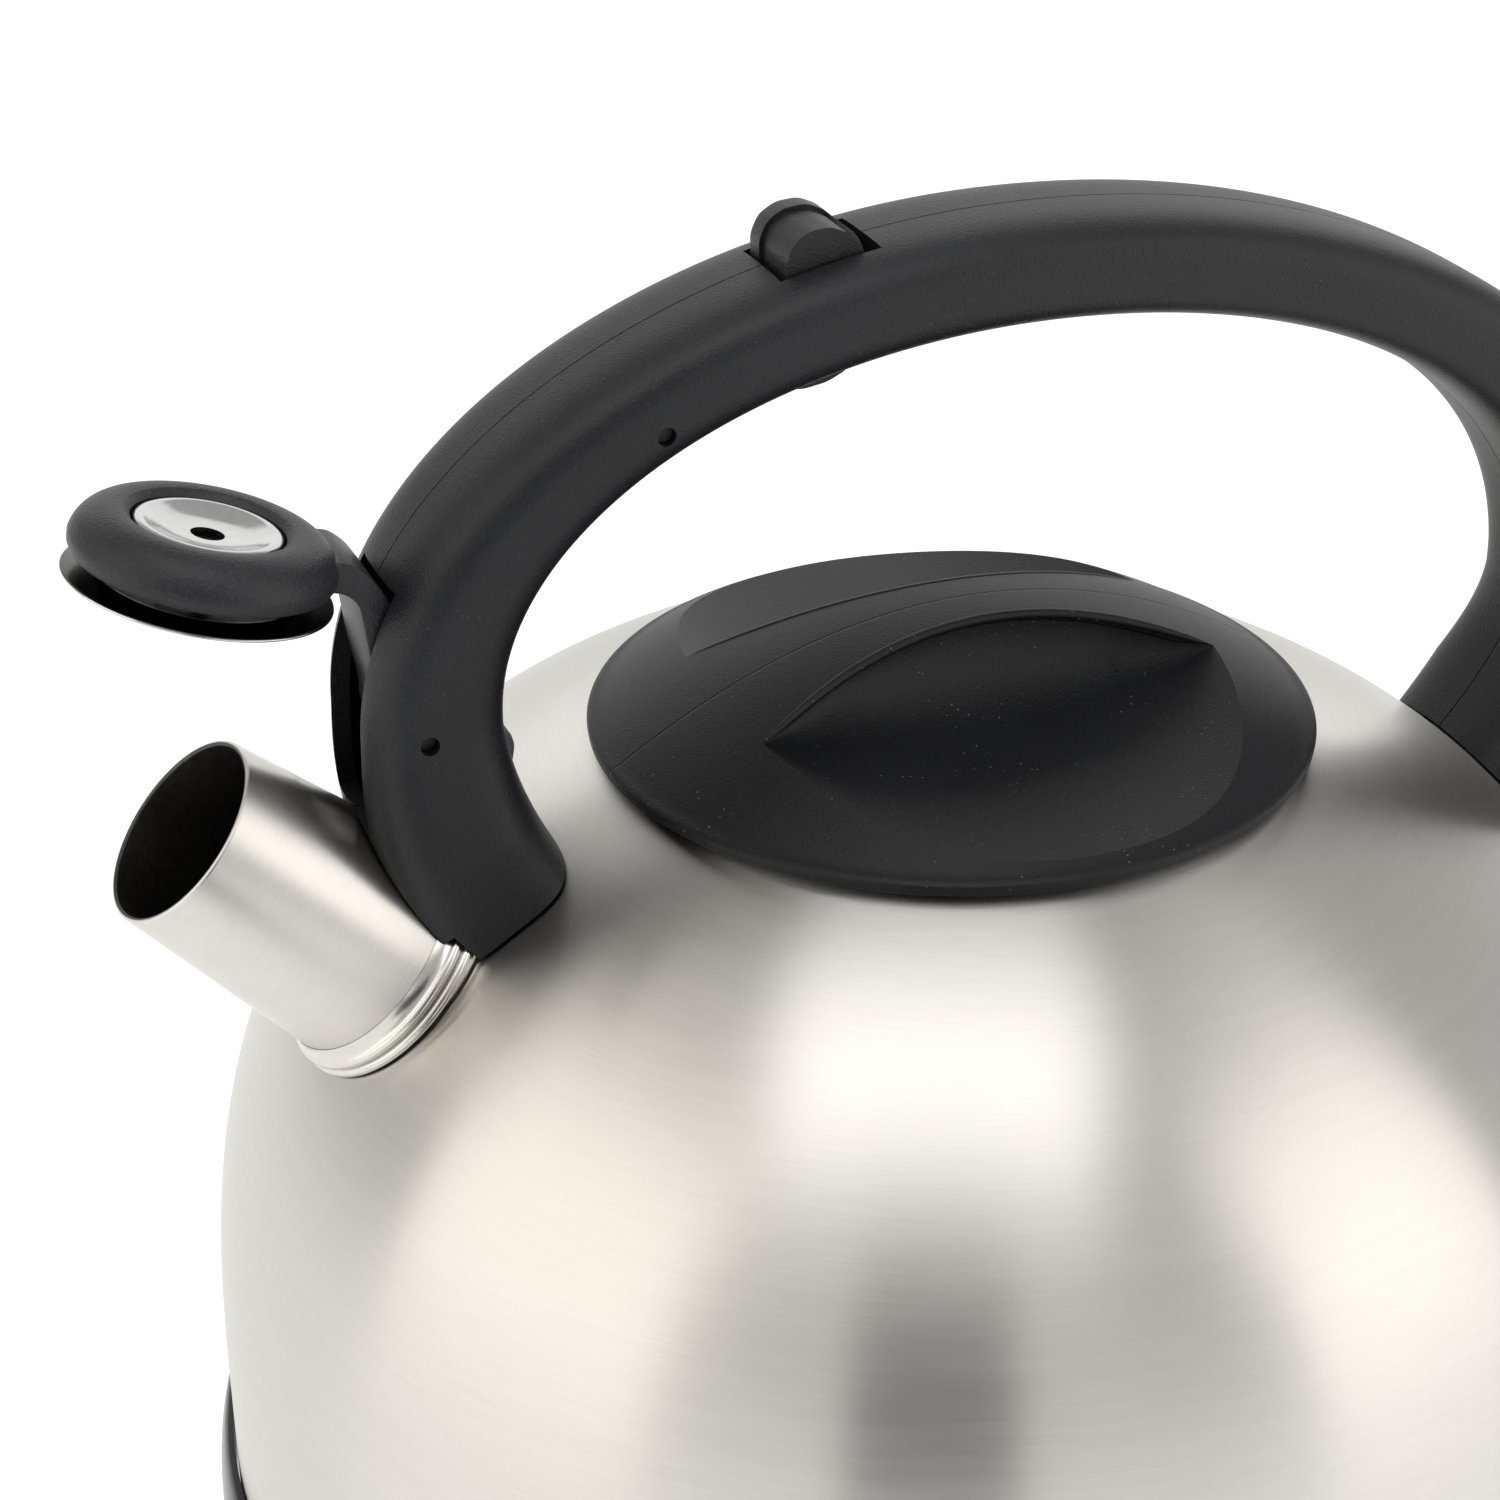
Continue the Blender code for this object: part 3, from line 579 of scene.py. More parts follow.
def carve(obj: bpy.types.Object, tools: Sequence[bpy.types.Object], operation: str = "DIFFERENCE",
          keep: bool = False, sharp: float = SHARP) -> bpy.types.Object:
    """Add an exact Boolean for each tool, apply all modifiers and remove the tools.

    Args:
        obj: The piece.
        tools: Solids to take away or join.
        operation: DIFFERENCE or UNION.
        keep: Whether the tools stay for a later cut.
        sharp: Angle of a sharp edge in degrees.

    Returns:
        The piece, with no modifiers left.
    """
    for tool in tools:
        mod = obj.modifiers.new(tool.name, "BOOLEAN")
        mod.operation = operation
        mod.solver = "EXACT"
        mod.object = tool
    graph = bpy.context.evaluated_depsgraph_get()
    made = bpy.data.meshes.new_from_object(obj.evaluated_get(graph))
    obj.modifiers.clear()
    obj.data = made
    smooth(obj, sharp)
    if not keep:
        for tool in tools:
            bpy.data.objects.remove(tool, do_unlink=True)
    return obj


def soften(obj: bpy.types.Object, width: float, segments: int = 2) -> None:
    """Round the sharp edges of a piece with a Bevel that is applied.

    Args:
        obj: The piece.
        width: The Bevel's width in millimetres.
        segments: Its segments.
    """
    mod = obj.modifiers.new("edge", "BEVEL")
    mod.width = width * MM
    mod.segments = segments
    mod.limit_method = "ANGLE"
    mod.angle_limit = math.radians(BEVEL_ANGLE)
    mod.use_clamp_overlap = True
    carve(obj, [])


def arc(centre: tuple[float, float], radius: float, start: float, end: float,
        count: int) -> Array:
    """Points on an arc in the XZ plane, angles in degrees from +X to +Z."""
    angle = np.radians(np.linspace(start, end, count))
    return np.stack([centre[0] + radius * np.cos(angle), centre[1] + radius * np.sin(angle)],
                    axis=-1)


def bezier(p0: Sequence[float], p1: Sequence[float], p2: Sequence[float],
           p3: Sequence[float], count: int) -> Array:
    """Points on a cubic curve, without its first point.

    With u = 1 - t it is u^3 p0 + 3 t u^2 p1 + 3 t^2 u p2 + t^3 p3.

    Args:
        p0: Where the curve starts.
        p1: Where it heads first.
        p2: Where it comes from at its end.
        p3: Where it ends.
        count: Number of points.

    Returns:
        (count, 2) points.
    """
    t = np.linspace(0, 1, count + 1)[1:, None]
    ends = [np.array(p, float)[None, :] for p in (p0, p1, p2, p3)]
    return ((1 - t) ** 3 * ends[0] + 3 * t * (1 - t) ** 2 * ends[1]
            + 3 * t * t * (1 - t) * ends[2] + t ** 3 * ends[3])


def rounded(outline: Array, radius: float) -> Array:
    """Round each corner of a closed outline.

    Each corner becomes a quadratic curve that starts and ends at most radius
    away from it, and never past the middle of a side.

    Args:
        outline: (n, 2) corners.
        radius: How far from a corner its curve may start.

    Returns:
        The rounded outline.
    """
    back = np.roll(outline, 1, axis=0) - outline
    ahead = np.roll(outline, -1, axis=0) - outline
    far_back = np.linalg.norm(back, axis=1, keepdims=True)
    far_ahead = np.linalg.norm(ahead, axis=1, keepdims=True)
    start = outline + back / far_back * np.minimum(radius, far_back * 0.45)
    end = outline + ahead / far_ahead * np.minimum(radius, far_ahead * 0.45)
    t = np.linspace(0, 1, CURVE_POINTS)[None, :, None]
    curve = ((1 - t) ** 2 * start[:, None] + 2 * t * (1 - t) * outline[:, None]
             + t * t * end[:, None])
    return curve.reshape(-1, 2)


def dress(obj: bpy.types.Object, material: bpy.types.Material) -> None:
    """Give a piece this material and no other."""
    obj.data.materials.clear()
    obj.data.materials.append(material)


def second_finish(obj: bpy.types.Object, faces: Array, material: bpy.types.Material) -> None:
    """Give some of a piece's faces a second material.

    Args:
        obj: The piece, which has its first material.
        faces: Whether each face takes the second one.
        material: The second material.
    """
    obj.data.materials.append(material)
    obj.data.polygons.foreach_set("material_index", faces.astype(np.int32))


def local_faces(obj: bpy.types.Object, frame: Matrix) -> tuple[Array, Array]:
    """Where a piece's faces are and which way they look, in a local frame.

    Args:
        obj: The piece.
        frame: The local frame's place.

    Returns:
        (n, 3) middles and (n, 3) normals.
    """
    count = len(obj.data.polygons)
    middles, normals = np.empty(3 * count), np.empty(3 * count)
    obj.data.polygons.foreach_get("center", middles)
    obj.data.polygons.foreach_get("normal", normals)
    turn = np.array(frame.inverted())
    return (middles.reshape(-1, 3) @ turn[:3, :3].T + turn[:3, 3],
            normals.reshape(-1, 3) @ turn[:3, :3].T)


def add_on(obj: bpy.types.Object, body: str, material: bpy.types.Material) -> None:
    """Dress a piece that is no CAD node, and ride it on its body.

    Args:
        obj: The piece.
        body: The body that it moves with.
        material: Its material.
    """
    dress(obj, material)
    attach(obj, body)
    LOG.info("%s added on %s, %d faces", obj.name, body, len(obj.data.polygons))


def stand_in(obj: bpy.types.Object, node: str, body: str,
             material: bpy.types.Material) -> None:
    """Dress a piece, ride it on its body and let it stand for its CAD node.

    Args:
        obj: The piece.
        node: The CAD node.
        body: The body that both move with.
        material: The piece's material.
    """
    dress(obj, material)
    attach(obj, body)
    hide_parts(node)
    LOG.info("%s stands for %s on %s, %d faces", obj.name, node, body, len(obj.data.polygons))


# ------------------------------------------------------------ sub-assemblies
@dataclass
class Vessel:
    """Brushed shell, foot band and base plate.  Sizes are in metres."""

    radius: float = 110.0 * MM
    belly: float = 33.3 * MM
    height: float = 107.6 * MM
    flat_power: float = 2.34
    rise_power: float = 2.85
    wall: float = 0.9 * MM
    floor: float = 5.2 * MM
    bend: float = 7.0 * MM
    neck: float = 44.2 * MM
    neck_depth: float = 6.5 * MM
    neck_roll: float = 1.8 * MM
    plate: float = 99.0 * MM
    band: float = 112.8 * MM
    band_top: float = 21.5 * MM
    band_low: float = 3.0 * MM
    band_edge: float = 0.7 * MM
    band_power: float = 0.6
    grooves: tuple[float, float] = (80.0, 52.0)     # mm from the middle of the plate
    groove_depth: float = 0.35 * MM
    plate_bevel: float = 1.2 * MM
    plate_steps: int = 160
    steps: int = 200
    finish: Steel = field(default_factory=lambda: Steel(
        roughness=0.33, spread=0.07, anisotropy=0.9, grain=Grain.ROUND_AXIS))

    def dome(self, start: float, grow: float = 0.0, count: int = 60) -> Array:
        """Profile from a radius down to the belly.

        The radius and height are full * cos(a) ** (2 / flat_power) and
        height * sin(a) ** (2 / rise_power), an oval with its own powers.

        Args:
            start: Radius at the profile's top.
            grow: Distance added to the radius and the height.
            count: Number of steps.

        Returns:
            (n, 2) radii and heights.
        """
        full, height = self.radius + grow, self.height + grow
        angle = math.acos((start / full) ** (self.flat_power / 2)) * np.linspace(1, 0, count + 1)
        return np.stack([full * np.cos(angle) ** (2 / self.flat_power),
                         self.belly + height * np.sin(angle) ** (2 / self.rise_power)], axis=-1)

    def corner(self, radius: float, floor: float, bend: float) -> Array:
        """Quarter circle from the wall down to the floor."""
        angle = np.linspace(0, math.pi / 2, 10)
        return np.stack([radius - bend + bend * np.cos(angle),
                         floor + bend - bend * np.sin(angle)], axis=-1)

    def shell(self) -> bpy.types.Object:
        """Turn the outer wall, the inner wall and the folded-in neck.

        Returns:
            The shell before the spout's hole.
        """
        outer = self.dome(self.neck + self.neck_roll)
        inner = self.dome(self.neck + self.wall, -self.wall)
        top = outer[0, 1]
        neck = np.array([(self.neck + self.wall, top - self.neck_depth),
                         (self.neck, top - self.neck_depth), (self.neck, top - 0.5 * MM),
                         (self.neck + 0.7 * MM, top + 0.15 * MM)])
        profile = np.vstack([
            [[0.0, self.floor + self.wall]],
            self.corner(self.radius - self.wall, self.floor + self.wall,
                        self.bend - self.wall)[::-1],
            inner[::-1], neck, outer, self.corner(self.radius, self.floor, self.bend),
            [[0.0, self.floor]]])
        return lathe("shell", profile, self.steps)

    def form(self) -> bpy.types.Object:
        """Solid of the body's outside and a gap round it, to fit pieces to."""
        profile = np.vstack([[[0.0, self.belly + self.height + GAP]],
                             self.dome(12 * MM, GAP, 90),
                             [[self.radius + GAP, self.floor], [0.0, self.floor]]])
        return lathe("body_form", profile, self.steps)

    def foot_band(self) -> bpy.types.Object:
        """Turn the band, which bulges by (4 t (1 - t)) ** band_power at height t.

        Returns:
            The band.
        """
        inside, shoulder = self.radius + GAP, 0.3 * MM
        edge = inside + self.band_edge
        t = np.linspace(0, 1, 33)
        bulge = (4 * t * (1 - t)) ** self.band_power
        face = np.stack([edge + (self.band - edge) * bulge,
                         self.band_top - shoulder
                         - (self.band_top - self.band_low - 2 * shoulder) * t], axis=-1)
        profile = np.vstack([[[inside, self.band_top]], face, [[inside, self.band_low]]])
        return lathe("foot_band", profile, self.steps)

    def hob_plate(self) -> bpy.types.Object:
        """Turn the flat plate with its bevelled edge and two shallow grooves.

        Returns:
            The plate.
        """
        low, high = 0.0, self.floor - GAP
        rings = [(self.plate - self.plate_bevel, low)]
        for at in self.grooves:
            rings += [((at + 1.0) * MM, low), ((at + 0.6) * MM, self.groove_depth),
                      ((at - 0.6) * MM, self.groove_depth), ((at - 1.0) * MM, low)]
        profile = np.array([(0.0, high), (self.plate, high), (self.plate, self.plate_bevel),
                            *rings, (0.0, low)])
        return lathe("hob_plate", profile, self.plate_steps)

    def build(self, spout: "Spout") -> None:
        """Make, dress and ride the body's pieces.

        Args:
            spout: The spout, which gives the hole in the shell.
        """
        shell = carve(self.shell(), [spout.hole()], sharp=30.0)
        stand_in(shell, "kettle_body", "kettle",
                 self.finish.material("brushed_dome"))
        stand_in(self.foot_band(), "base_ring", "kettle",
                 Plastic(colour=(0.010, 0.010, 0.011), light=(0.016, 0.016, 0.017),
                         roughness=0.2, depth=0.004 * MM).material("foot_band_gloss"))
        stand_in(self.hob_plate(), "base_plate", "kettle",
                 Steel(roughness=0.36, grain=Grain.ROUND_AXIS,
                       anisotropy=0.5).material("turned_plate"))


@dataclass
class Spout:
    """Tapered tube and the collar with two beads.  Sizes are in metres."""

    mouth: tuple[float, float, float] = (-111.4 * MM, 0.0, 141.1 * MM)
    tilt: float = math.radians(43.65)
    mouth_r: float = 13.5 * MM
    root_r: float = 16.4 * MM
    length: float = 42.0 * MM
    wall: float = 0.8 * MM
    collar_at: float = 37.9 * MM
    collar_r: float = 18.0 * MM
    flare_top: float = 5.2 * MM
    bead_r: float = 0.8 * MM
    beads: tuple[tuple[float, float], ...] = ((1.15, 2.05), (0.8, 0.35))   # mm in, mm up
    sleeve: float = 6 * MM
    tool_steps: int = 96
    steps: int = 128

    def way(self) -> Vector:
        """Direction up the spout."""
        return Vector((-math.cos(self.tilt), 0.0, math.sin(self.tilt)))

    def frame(self, distance: float = 0.0) -> Matrix:
        """Frame whose +Z runs up the spout, a distance down from the mouth."""
        return Matrix.Translation(Vector(self.mouth) - self.way() * distance) @ \
            Matrix.Rotation(self.tilt - math.pi / 2, 4, "Y")

    def hole(self) -> bpy.types.Object:
        """Make the tool for the shell's hole.

        Returns:
            The tool.
        """
        reach, wide = 14 * MM, self.root_r + 0.5 * MM
        profile = np.array([(0.0, reach), (wide, reach), (wide, -reach), (0.0, -reach)])
        return lathe("spout_hole", profile, self.tool_steps, self.frame(self.collar_at))

    def tube_form(self) -> bpy.types.Object:
        """Make the tool that clears the handle from the tube.

        Returns:
            The tool.
        """
        reach = self.length + 20 * MM
        profile = np.array([(0.0, 0.0), (self.mouth_r + GAP, 0.0),
                            (self.root_r + GAP, -self.collar_at), (self.root_r + GAP, -reach),
                            (0.0, -reach)])
        return lathe("tube_form", profile, self.tool_steps, self.frame())

    def collar_form(self) -> bpy.types.Object:
        """Make the tool that clears the handle from the collar.

        Returns:
            The tool.
        """
        wide, high, low = self.collar_r + GAP, 3.8 * MM, -20 * MM
        profile = np.array([(0.0, high), (wide, high), (wide, low), (0.0, low)])
        return lathe("collar_form", profile, self.tool_steps, self.frame(self.collar_at))

    def tube(self) -> bpy.types.Object:
        """Turn the open tube with its rounded lip.

        Returns:
            The tube.
        """
        lip = arc((self.mouth_r - self.wall / 2, -self.wall / 2), self.wall / 2, 180, 0, 7)
        profile = np.vstack([lip, [[self.root_r, -self.collar_at], [self.root_r, -self.length],
                                   [self.root_r - self.wall, -self.length],
                                   [self.root_r - self.wall, -self.collar_at]]])
        return lathe("spout_pipe", profile, self.steps, self.frame())

    def collar(self, form: bpy.types.Object) -> bpy.types.Object:
        """Turn the flare and two round beads on a sleeve that meets the body.

        Args:
            form: The body's outside, which the sleeve ends on.

        Returns:
            The collar.
        """
        inside, outside = self.root_r + 0.03 * MM, self.collar_r - 0.5 * MM
        start = inside - (self.root_r - self.mouth_r) * self.flare_top / self.collar_at
        flare = bezier((start, self.flare_top), (start + 0.15 * MM, 3.8 * MM),
                       (self.root_r + 0.35 * MM, 3.0 * MM), (self.root_r + 0.8 * MM, 2.8 * MM), 9)
        beads = [arc((self.collar_r - inset * MM, up * MM), self.bead_r, 80, -80, 12)
                 for inset, up in self.beads]
        profile = np.vstack([flare, *beads,
                             [[outside, -0.6 * MM], [outside, -self.sleeve],
                              [inside, -self.sleeve], [inside, 0.0]]])
        made = lathe("spout_beads", profile, self.steps, self.frame(self.collar_at))
        return carve(made, [form], keep=True)

    def build(self, form: bpy.types.Object) -> None:
        """Make, dress and ride the spout's pieces.

        Args:
            form: The body's outside, for the collar's fit.
        """
        steel = Steel(roughness=0.34, spread=0.08, anisotropy=0.5, grain=Grain.ROUND_SPOUT,
                      along=5.0, across=2600.0, axis_tilt=self.tilt - math.pi / 2,
                      axis_place=self.mouth).material("brushed_spout")
        tube = self.tube()
        stand_in(tube, "spout_tube", "kettle", steel)
        # Painted shade: the faces inside the tube take a near-black steel that stands for the
        # shade in the bore.
        middles, normals = local_faces(tube, self.frame())
        bore_shade_faces = np.sum(middles[:, :2] * normals[:, :2], axis=1) < -0.2 * self.mouth_r
        second_finish(tube, bore_shade_faces, Steel(colour=(0.10, 0.095, 0.09), tint=(0.07, 0.066, 0.06),
                                          roughness=0.42).material("bore_painted_shade"))
        stand_in(self.collar(form), "spout_collar", "kettle",
                 Steel(roughness=0.24, spread=0.05).material("rolled_beads"))


@dataclass
class Handle:
    """Two hollow half shells on an oval arch, and a small tab.  Sizes are in millimetres."""

    top: tuple[float, float] = (4.1, 210.7)
    front: tuple[float, float] = (92.5, 58.4)
    rear: tuple[float, float] = (111.0, 73.2)
    depth: float = 14.4
    leg_depth: float = 5.6
    half: float = 13.1
    foot_half: float = 15.7
    power: float = 3.4
    wall: float = 2.4
    seam: float = 0.10
    arch_steps: int = 132
    leg_steps: int = 28
    section_points: int = 45
    leg_span: float = 7.0
    arch_span: float = 28.0
    flare_span: float = 8.0
    pins: tuple[tuple[float, float], ...] = ((-80.5, 153.4), (-47.0, 190.8), (99.5, 119.0))
    pin_bore: float = 1.3
    tab: tuple[tuple[float, float], ...] = ((-70.5, 149.6), (-67.2, 149.1), (-66.6, 147.0),
                                            (-67.0, 144.6), (-68.2, 143.4), (-70.5, 143.6))
    tab_half: float = 5.5
    tab_edge: float = 0.4
    finish: Plastic = field(default_factory=lambda: Plastic(dust=0.35))
    tab_finish: Plain = field(default_factory=lambda: Plain(colour=(0.045, 0.045, 0.050)))

    def edges(self) -> tuple[Array, Array, Array]:
        """Crest and inner edge of the handle in the XZ plane.

        The arch's crest is two quarter ovals, at reach * cos(a) and
        drop * sin(a) from the point that lies a drop below the top.  The
        inner edge is offset along the normal by a depth that grows with
        |cos(a)| ** 5.  The legs are cubic curves.

        Returns:
            The crest, the inner edge, and each station's place counted from
            the nearer foot, where a leg is leg_span long and the whole arch
            arch_span.
        """
        n = self.leg_steps
        front_crest = bezier((-88.4, 152.3), (-88.6, 143.0), (-89.5, 133.0), (-78.0, 112.0), n)
        front_inner = bezier((-68.4, 152.3), (-67.6, 145.0), (-66.0, 138.5), (-57.5, 124.0), n)
        rear_crest = bezier((115.1, 137.5), (115.0, 126.0), (107.0, 112.0), (93.0, 88.0), n)
        rear_inner = bezier((95.1, 137.5), (94.4, 130.0), (91.0, 124.0), (74.0, 106.0), n)
        angle = np.linspace(math.pi, 0, self.arch_steps + 1)
        c, s = np.cos(angle), np.sin(angle)
        reach = np.where(c < 0, self.front[0], self.rear[0])
        drop = np.where(c < 0, self.front[1], self.rear[1])
        crest = np.stack([self.top[0] + reach * c, self.top[1] - drop * (1 - s)], axis=-1)
        along = np.stack([reach * s, -drop * c], axis=-1)
        along /= np.linalg.norm(along, axis=1, keepdims=True)
        depth = (self.depth + self.leg_depth * np.abs(c) ** 5)[:, None]
        inner = crest + depth * np.stack([along[:, 1], -along[:, 0]], axis=-1)
        leg = np.arange(n) * self.leg_span / n
        arch = self.leg_span + np.arange(self.arch_steps + 1) * self.arch_span / self.arch_steps
        back = 2 * self.leg_span + self.arch_span - arch
        station = np.concatenate([leg, np.minimum(arch, back), leg[::-1]])
        return (np.vstack([front_crest[::-1], crest, rear_crest]),
                np.vstack([front_inner[::-1], inner, rear_inner]), station)

    def section(self, deep: Array, wide: Array, order: int) -> tuple[Array, Array]:
        """Half of a squared oval from the crest to the inner edge.

        The height is deep * cos(a) ** (2 / power), with the cosine's sign, and
        the width wide * sin(a) ** (2 / power), which keeps the sides flat and
        the corners round.

        Args:
            deep: Half depth at each station.
            wide: Half width at each station.
            order: 1 for crest first, -1 for inner edge first.

        Returns:
            (stations, points on the section) heights and widths.
        """
        angle = np.linspace(0, math.pi, self.section_points)[::order]
        c, s = np.cos(angle), np.clip(np.sin(angle), 0, 1)
        up = np.sign(c) * np.abs(c) ** (2 / self.power)
        return deep[:, None] * up, wide[:, None] * s ** (2 / self.power)

    def half_shell(self, name: str, side: int) -> bpy.types.Object:
        """One hollow half before its cuts.

        The half width is half in the arch and grows to foot_half at each foot
        by (1.6 * (1 - station / flare_span)) ** 1.5, held between 0 and 1.

        Args:
            name: The piece's name.
            side: -1 near, 1 far.

        Returns:
            The half.
        """
        crest, inner, station = self.edges()
        middle, radial = (crest + inner) / 2, (crest - inner) / 2
        deep = np.linalg.norm(radial, axis=1)
        radial = radial / deep[:, None]
        flare = np.clip(1.6 * (1 - station / self.flare_span), 0, 1) ** 1.5
        wide = self.half + (self.foot_half - self.half) * flare
        outer = self.section(deep, wide, 1)
        hollow = self.section(deep - self.wall, wide - self.wall, -1)
        up = np.hstack([outer[0], hollow[0]])
        out = np.maximum(self.seam, np.hstack([outer[1], hollow[1]])) * side
        spots = middle[:, None, :] + radial[:, None, :] * up[..., None]
        points = np.stack([spots[..., 0], out, spots[..., 1]], axis=-1) * MM
        rows, cols = points.shape[:2]
        sides = grid_faces(rows, cols)
        j = np.arange(self.section_points - 1)
        first = np.stack([j, j + 1, cols - 2 - j, cols - 1 - j], axis=-1)
        last = first + (rows - 1) * cols
        if side > 0:
            sides, last = sides[:, ::-1], last[:, ::-1]
        else:
            first = first[:, ::-1]
        return make_object(name, points, [sides, first, last])

    def cuts(self) -> list[bpy.types.Object]:
        """Tools for the slots, the window behind the crank and the pin holes."""
        made = [box("arm_slot", (-110, -7.0, 139.5), (-78.5, 7.0, 172.8)),
                box("lever_slot", (-28.6, -6.4, 199.0), (-14.4, 6.4, 222.0)),
                box("trigger_slot", (-36.5, -6.4, 180.0), (-13.5, 6.4, 199.0)),
                box("crank_window", (-74.0, -6.8, 149.5), (-60.0, 6.8, 164.5))]
        return made + [bore(f"pin_hole_{i}", at, self.pin_bore) for i, at in enumerate(self.pins)]

    def build(self, form: bpy.types.Object, spout: Spout) -> None:
        """Make, dress and ride both halves and the small tab on the front leg.

        Args:
            form: The body's outside, for the feet's fit.
            spout: The spout, which the front foot clears.
        """
        tools = [form, spout.tube_form(), spout.collar_form(), *self.cuts()]
        material = self.finish.material("handle_satin")
        for side, name, node in ((-1, "grip_near", "handle_shell_near"),
                                 (1, "grip_far", "handle_shell_far")):
            half = carve(self.half_shell(name, side), tools, keep=True, sharp=38.0)
            stand_in(half, node, "kettle", material)
        for tool in tools[1:]:
            bpy.data.objects.remove(tool, do_unlink=True)
        tab = slab("leg_tab", rounded(np.array(self.tab), 0.7), self.tab_half)
        soften(tab, self.tab_edge)
        add_on(tab, "kettle", self.tab_finish.material("tab_grey"))


@dataclass
class Whistle:
    """Raised cap: ring with its arm, pressed cup and dished disc.  Sizes are in millimetres."""

    pivot: tuple[float, float] = (-80.5, 153.4)
    swing: float = math.radians(61.5)
    seat_gap: float = 0.45
    crank_r: float = 8.2
    crank_angle: float = math.radians(2.25)
    arm_half: float = 6.2
    arm_edge: float = 0.5
    cheek_in: float = 2.8
    cheek_r: float = 3.9
    crank_cheek_r: float = 2.7
    crank_bore: float = 1.4
    disc_r: float = 9.6
    rim_top: float = 0.4           # height above which the cup's faces take the painted shade and painted reflection
    steps: int = 112
    finish: Plastic = field(default_factory=lambda: Plastic(
        colour=(0.0105, 0.0110, 0.0130), light=(0.0230, 0.0235, 0.0265), roughness=0.42,
        grain=2300.0, depth=0.12 * MM))

    def frame(self, spout: Spout) -> Matrix:
        """Find the raised cap's frame.

        Args:
            spout: The spout that the cap closes.

        Returns:
            The frame, with its origin on the cap's seat and +Z through the disc.
        """
        seat = Vector(spout.mouth) + spout.way() * self.seat_gap * MM
        pivot = Vector((self.pivot[0], 0.0, self.pivot[1])) * MM
        seat = pivot + Matrix.Rotation(self.swing, 3, "Y") @ (seat - pivot)
        return Matrix.Translation(seat) @ \
            Matrix.Rotation(spout.tilt - math.pi / 2 + self.swing, 4, "Y")

    def crank(self) -> tuple[float, float]:
        """Where the crank pin lies."""
        return (self.pivot[0] + self.crank_r * math.cos(self.crank_angle),
                self.pivot[1] + self.crank_r * math.sin(self.crank_angle))

    def carrier(self, frame: Matrix) -> bpy.types.Object:
        """Join the turned ring to the arm and its two cheeks.

        Args:
            frame: The raised cap's frame.

        Returns:
            The carrier.
        """
        arm = np.vstack([
            [(-93.0, 177.0), (-90.8, 178.2), (-87.2, 177.5), (-85.0, 175.4), (-83.0, 172.0),
             (-80.8, 166.5), (-79.2, 160.0)],
            arc(self.pivot, self.cheek_r, 60, -170, 24),
            [(-84.6, 157.0), (-85.6, 162.0), (-86.7, 171.4), (-88.4, 173.4), (-92.0, 174.2)]])
        made = slab("cap_carrier", rounded(arm, 1.2), self.arm_half)
        soften(made, self.arm_edge)
        face = bezier((10.3, 9.0), (12.8, 9.9), (16.4, 8.6), (17.2, 5.0), 26)
        ring = np.vstack([[(0.0, 9.0), (10.3, 9.0)], face,
                          [(17.1, 3.9), (16.6, 3.0), (0.0, 3.0)]]) * MM
        cheek = np.vstack([arc(self.pivot, self.cheek_r, 95, 270, 20),
                           arc(self.crank(), self.crank_cheek_r, -85, 90, 16)]) * MM
        carve(made, [lathe("ring_form", ring, self.steps, frame),
                     prism("cheek_low", cheek, -self.arm_half * MM, -self.cheek_in * MM),
                     prism("cheek_high", cheek, self.cheek_in * MM, self.arm_half * MM)],
              "UNION")
        recess = np.array([(0.0, 5.2), (15.6, 5.2), (15.6, -4.0), (0.0, -4.0)]) * MM
        seat = np.array([(0.0, 14.0), (10.9, 14.0), (10.9, 9.2), (9.95, 8.3), (9.95, 4.0),
                         (0.0, 4.0)]) * MM
        return carve(made, [lathe("recess", recess, self.steps, frame),
                            lathe("disc_seat", seat, self.steps, frame),
                            bore("arm_bore", self.pivot, PIVOT_BORE),
                            bore("crank_bore", self.crank(), self.crank_bore)])

    def build(self, spout: Spout) -> None:
        """Make, dress and ride the whistle's pieces.

        Args:
            spout: The spout that the cap closes.
        """
        frame = self.frame(spout)
        stand_in(self.carrier(frame), "whistle_carrier", "whistle",
                 self.finish.material("cap_satin"))
        polished = Steel(colour=(0.54, 0.54, 0.53), tint=(0.50, 0.50, 0.49), roughness=0.16,
                         spread=0.05).material("polished_cap")
        cup = np.vstack([[(2.2, 0.5), (12.0, 0.5)], arc((12.0, 0.8), 0.3, -90, 0, 4),
                         [(12.3, 4.9), (12.8, 4.9)], arc((13.2, 0.9), 0.4, 180, 270, 5),
                         arc((17.15, 0.25), 0.25, 90, -90, 7), [(2.2, 0.0)]]) * MM
        flange = lathe("seat_flange", cup, self.steps, frame)
        stand_in(flange, "whistle_seat_cup", "whistle", polished)
        # Painted reflection and painted shade: every face of the cup above rim_top takes a
        # near-black steel for the black ring reflected in it and the shade under the ring.
        height = local_faces(flange, frame)[0][:, 2]
        second_finish(flange, height > self.rim_top * MM,
                      Steel(colour=(0.06, 0.058, 0.055), tint=(0.04, 0.04, 0.04),
                            roughness=0.22).material("cup_painted_shade"))
        dish = np.vstack([[(2.2, 7.3)],
                          bezier((2.2, 7.3), (5.2, 7.3), (6.4, 7.9), (7.9, 8.35), 14),
                          bezier((7.9, 8.35), (8.7, 8.75), (9.5, 8.6), (self.disc_r, 8.0), 8),
                          [(self.disc_r, 7.6), (9.0, 7.9), (8.1, 7.7)],
                          bezier((8.1, 7.7), (6.4, 7.2), (5.2, 6.7), (2.2, 6.7), 10)]) * MM
        stand_in(lathe("steam_disc", dish, self.steps, frame), "whistle_top_disc", "whistle",
                 polished)


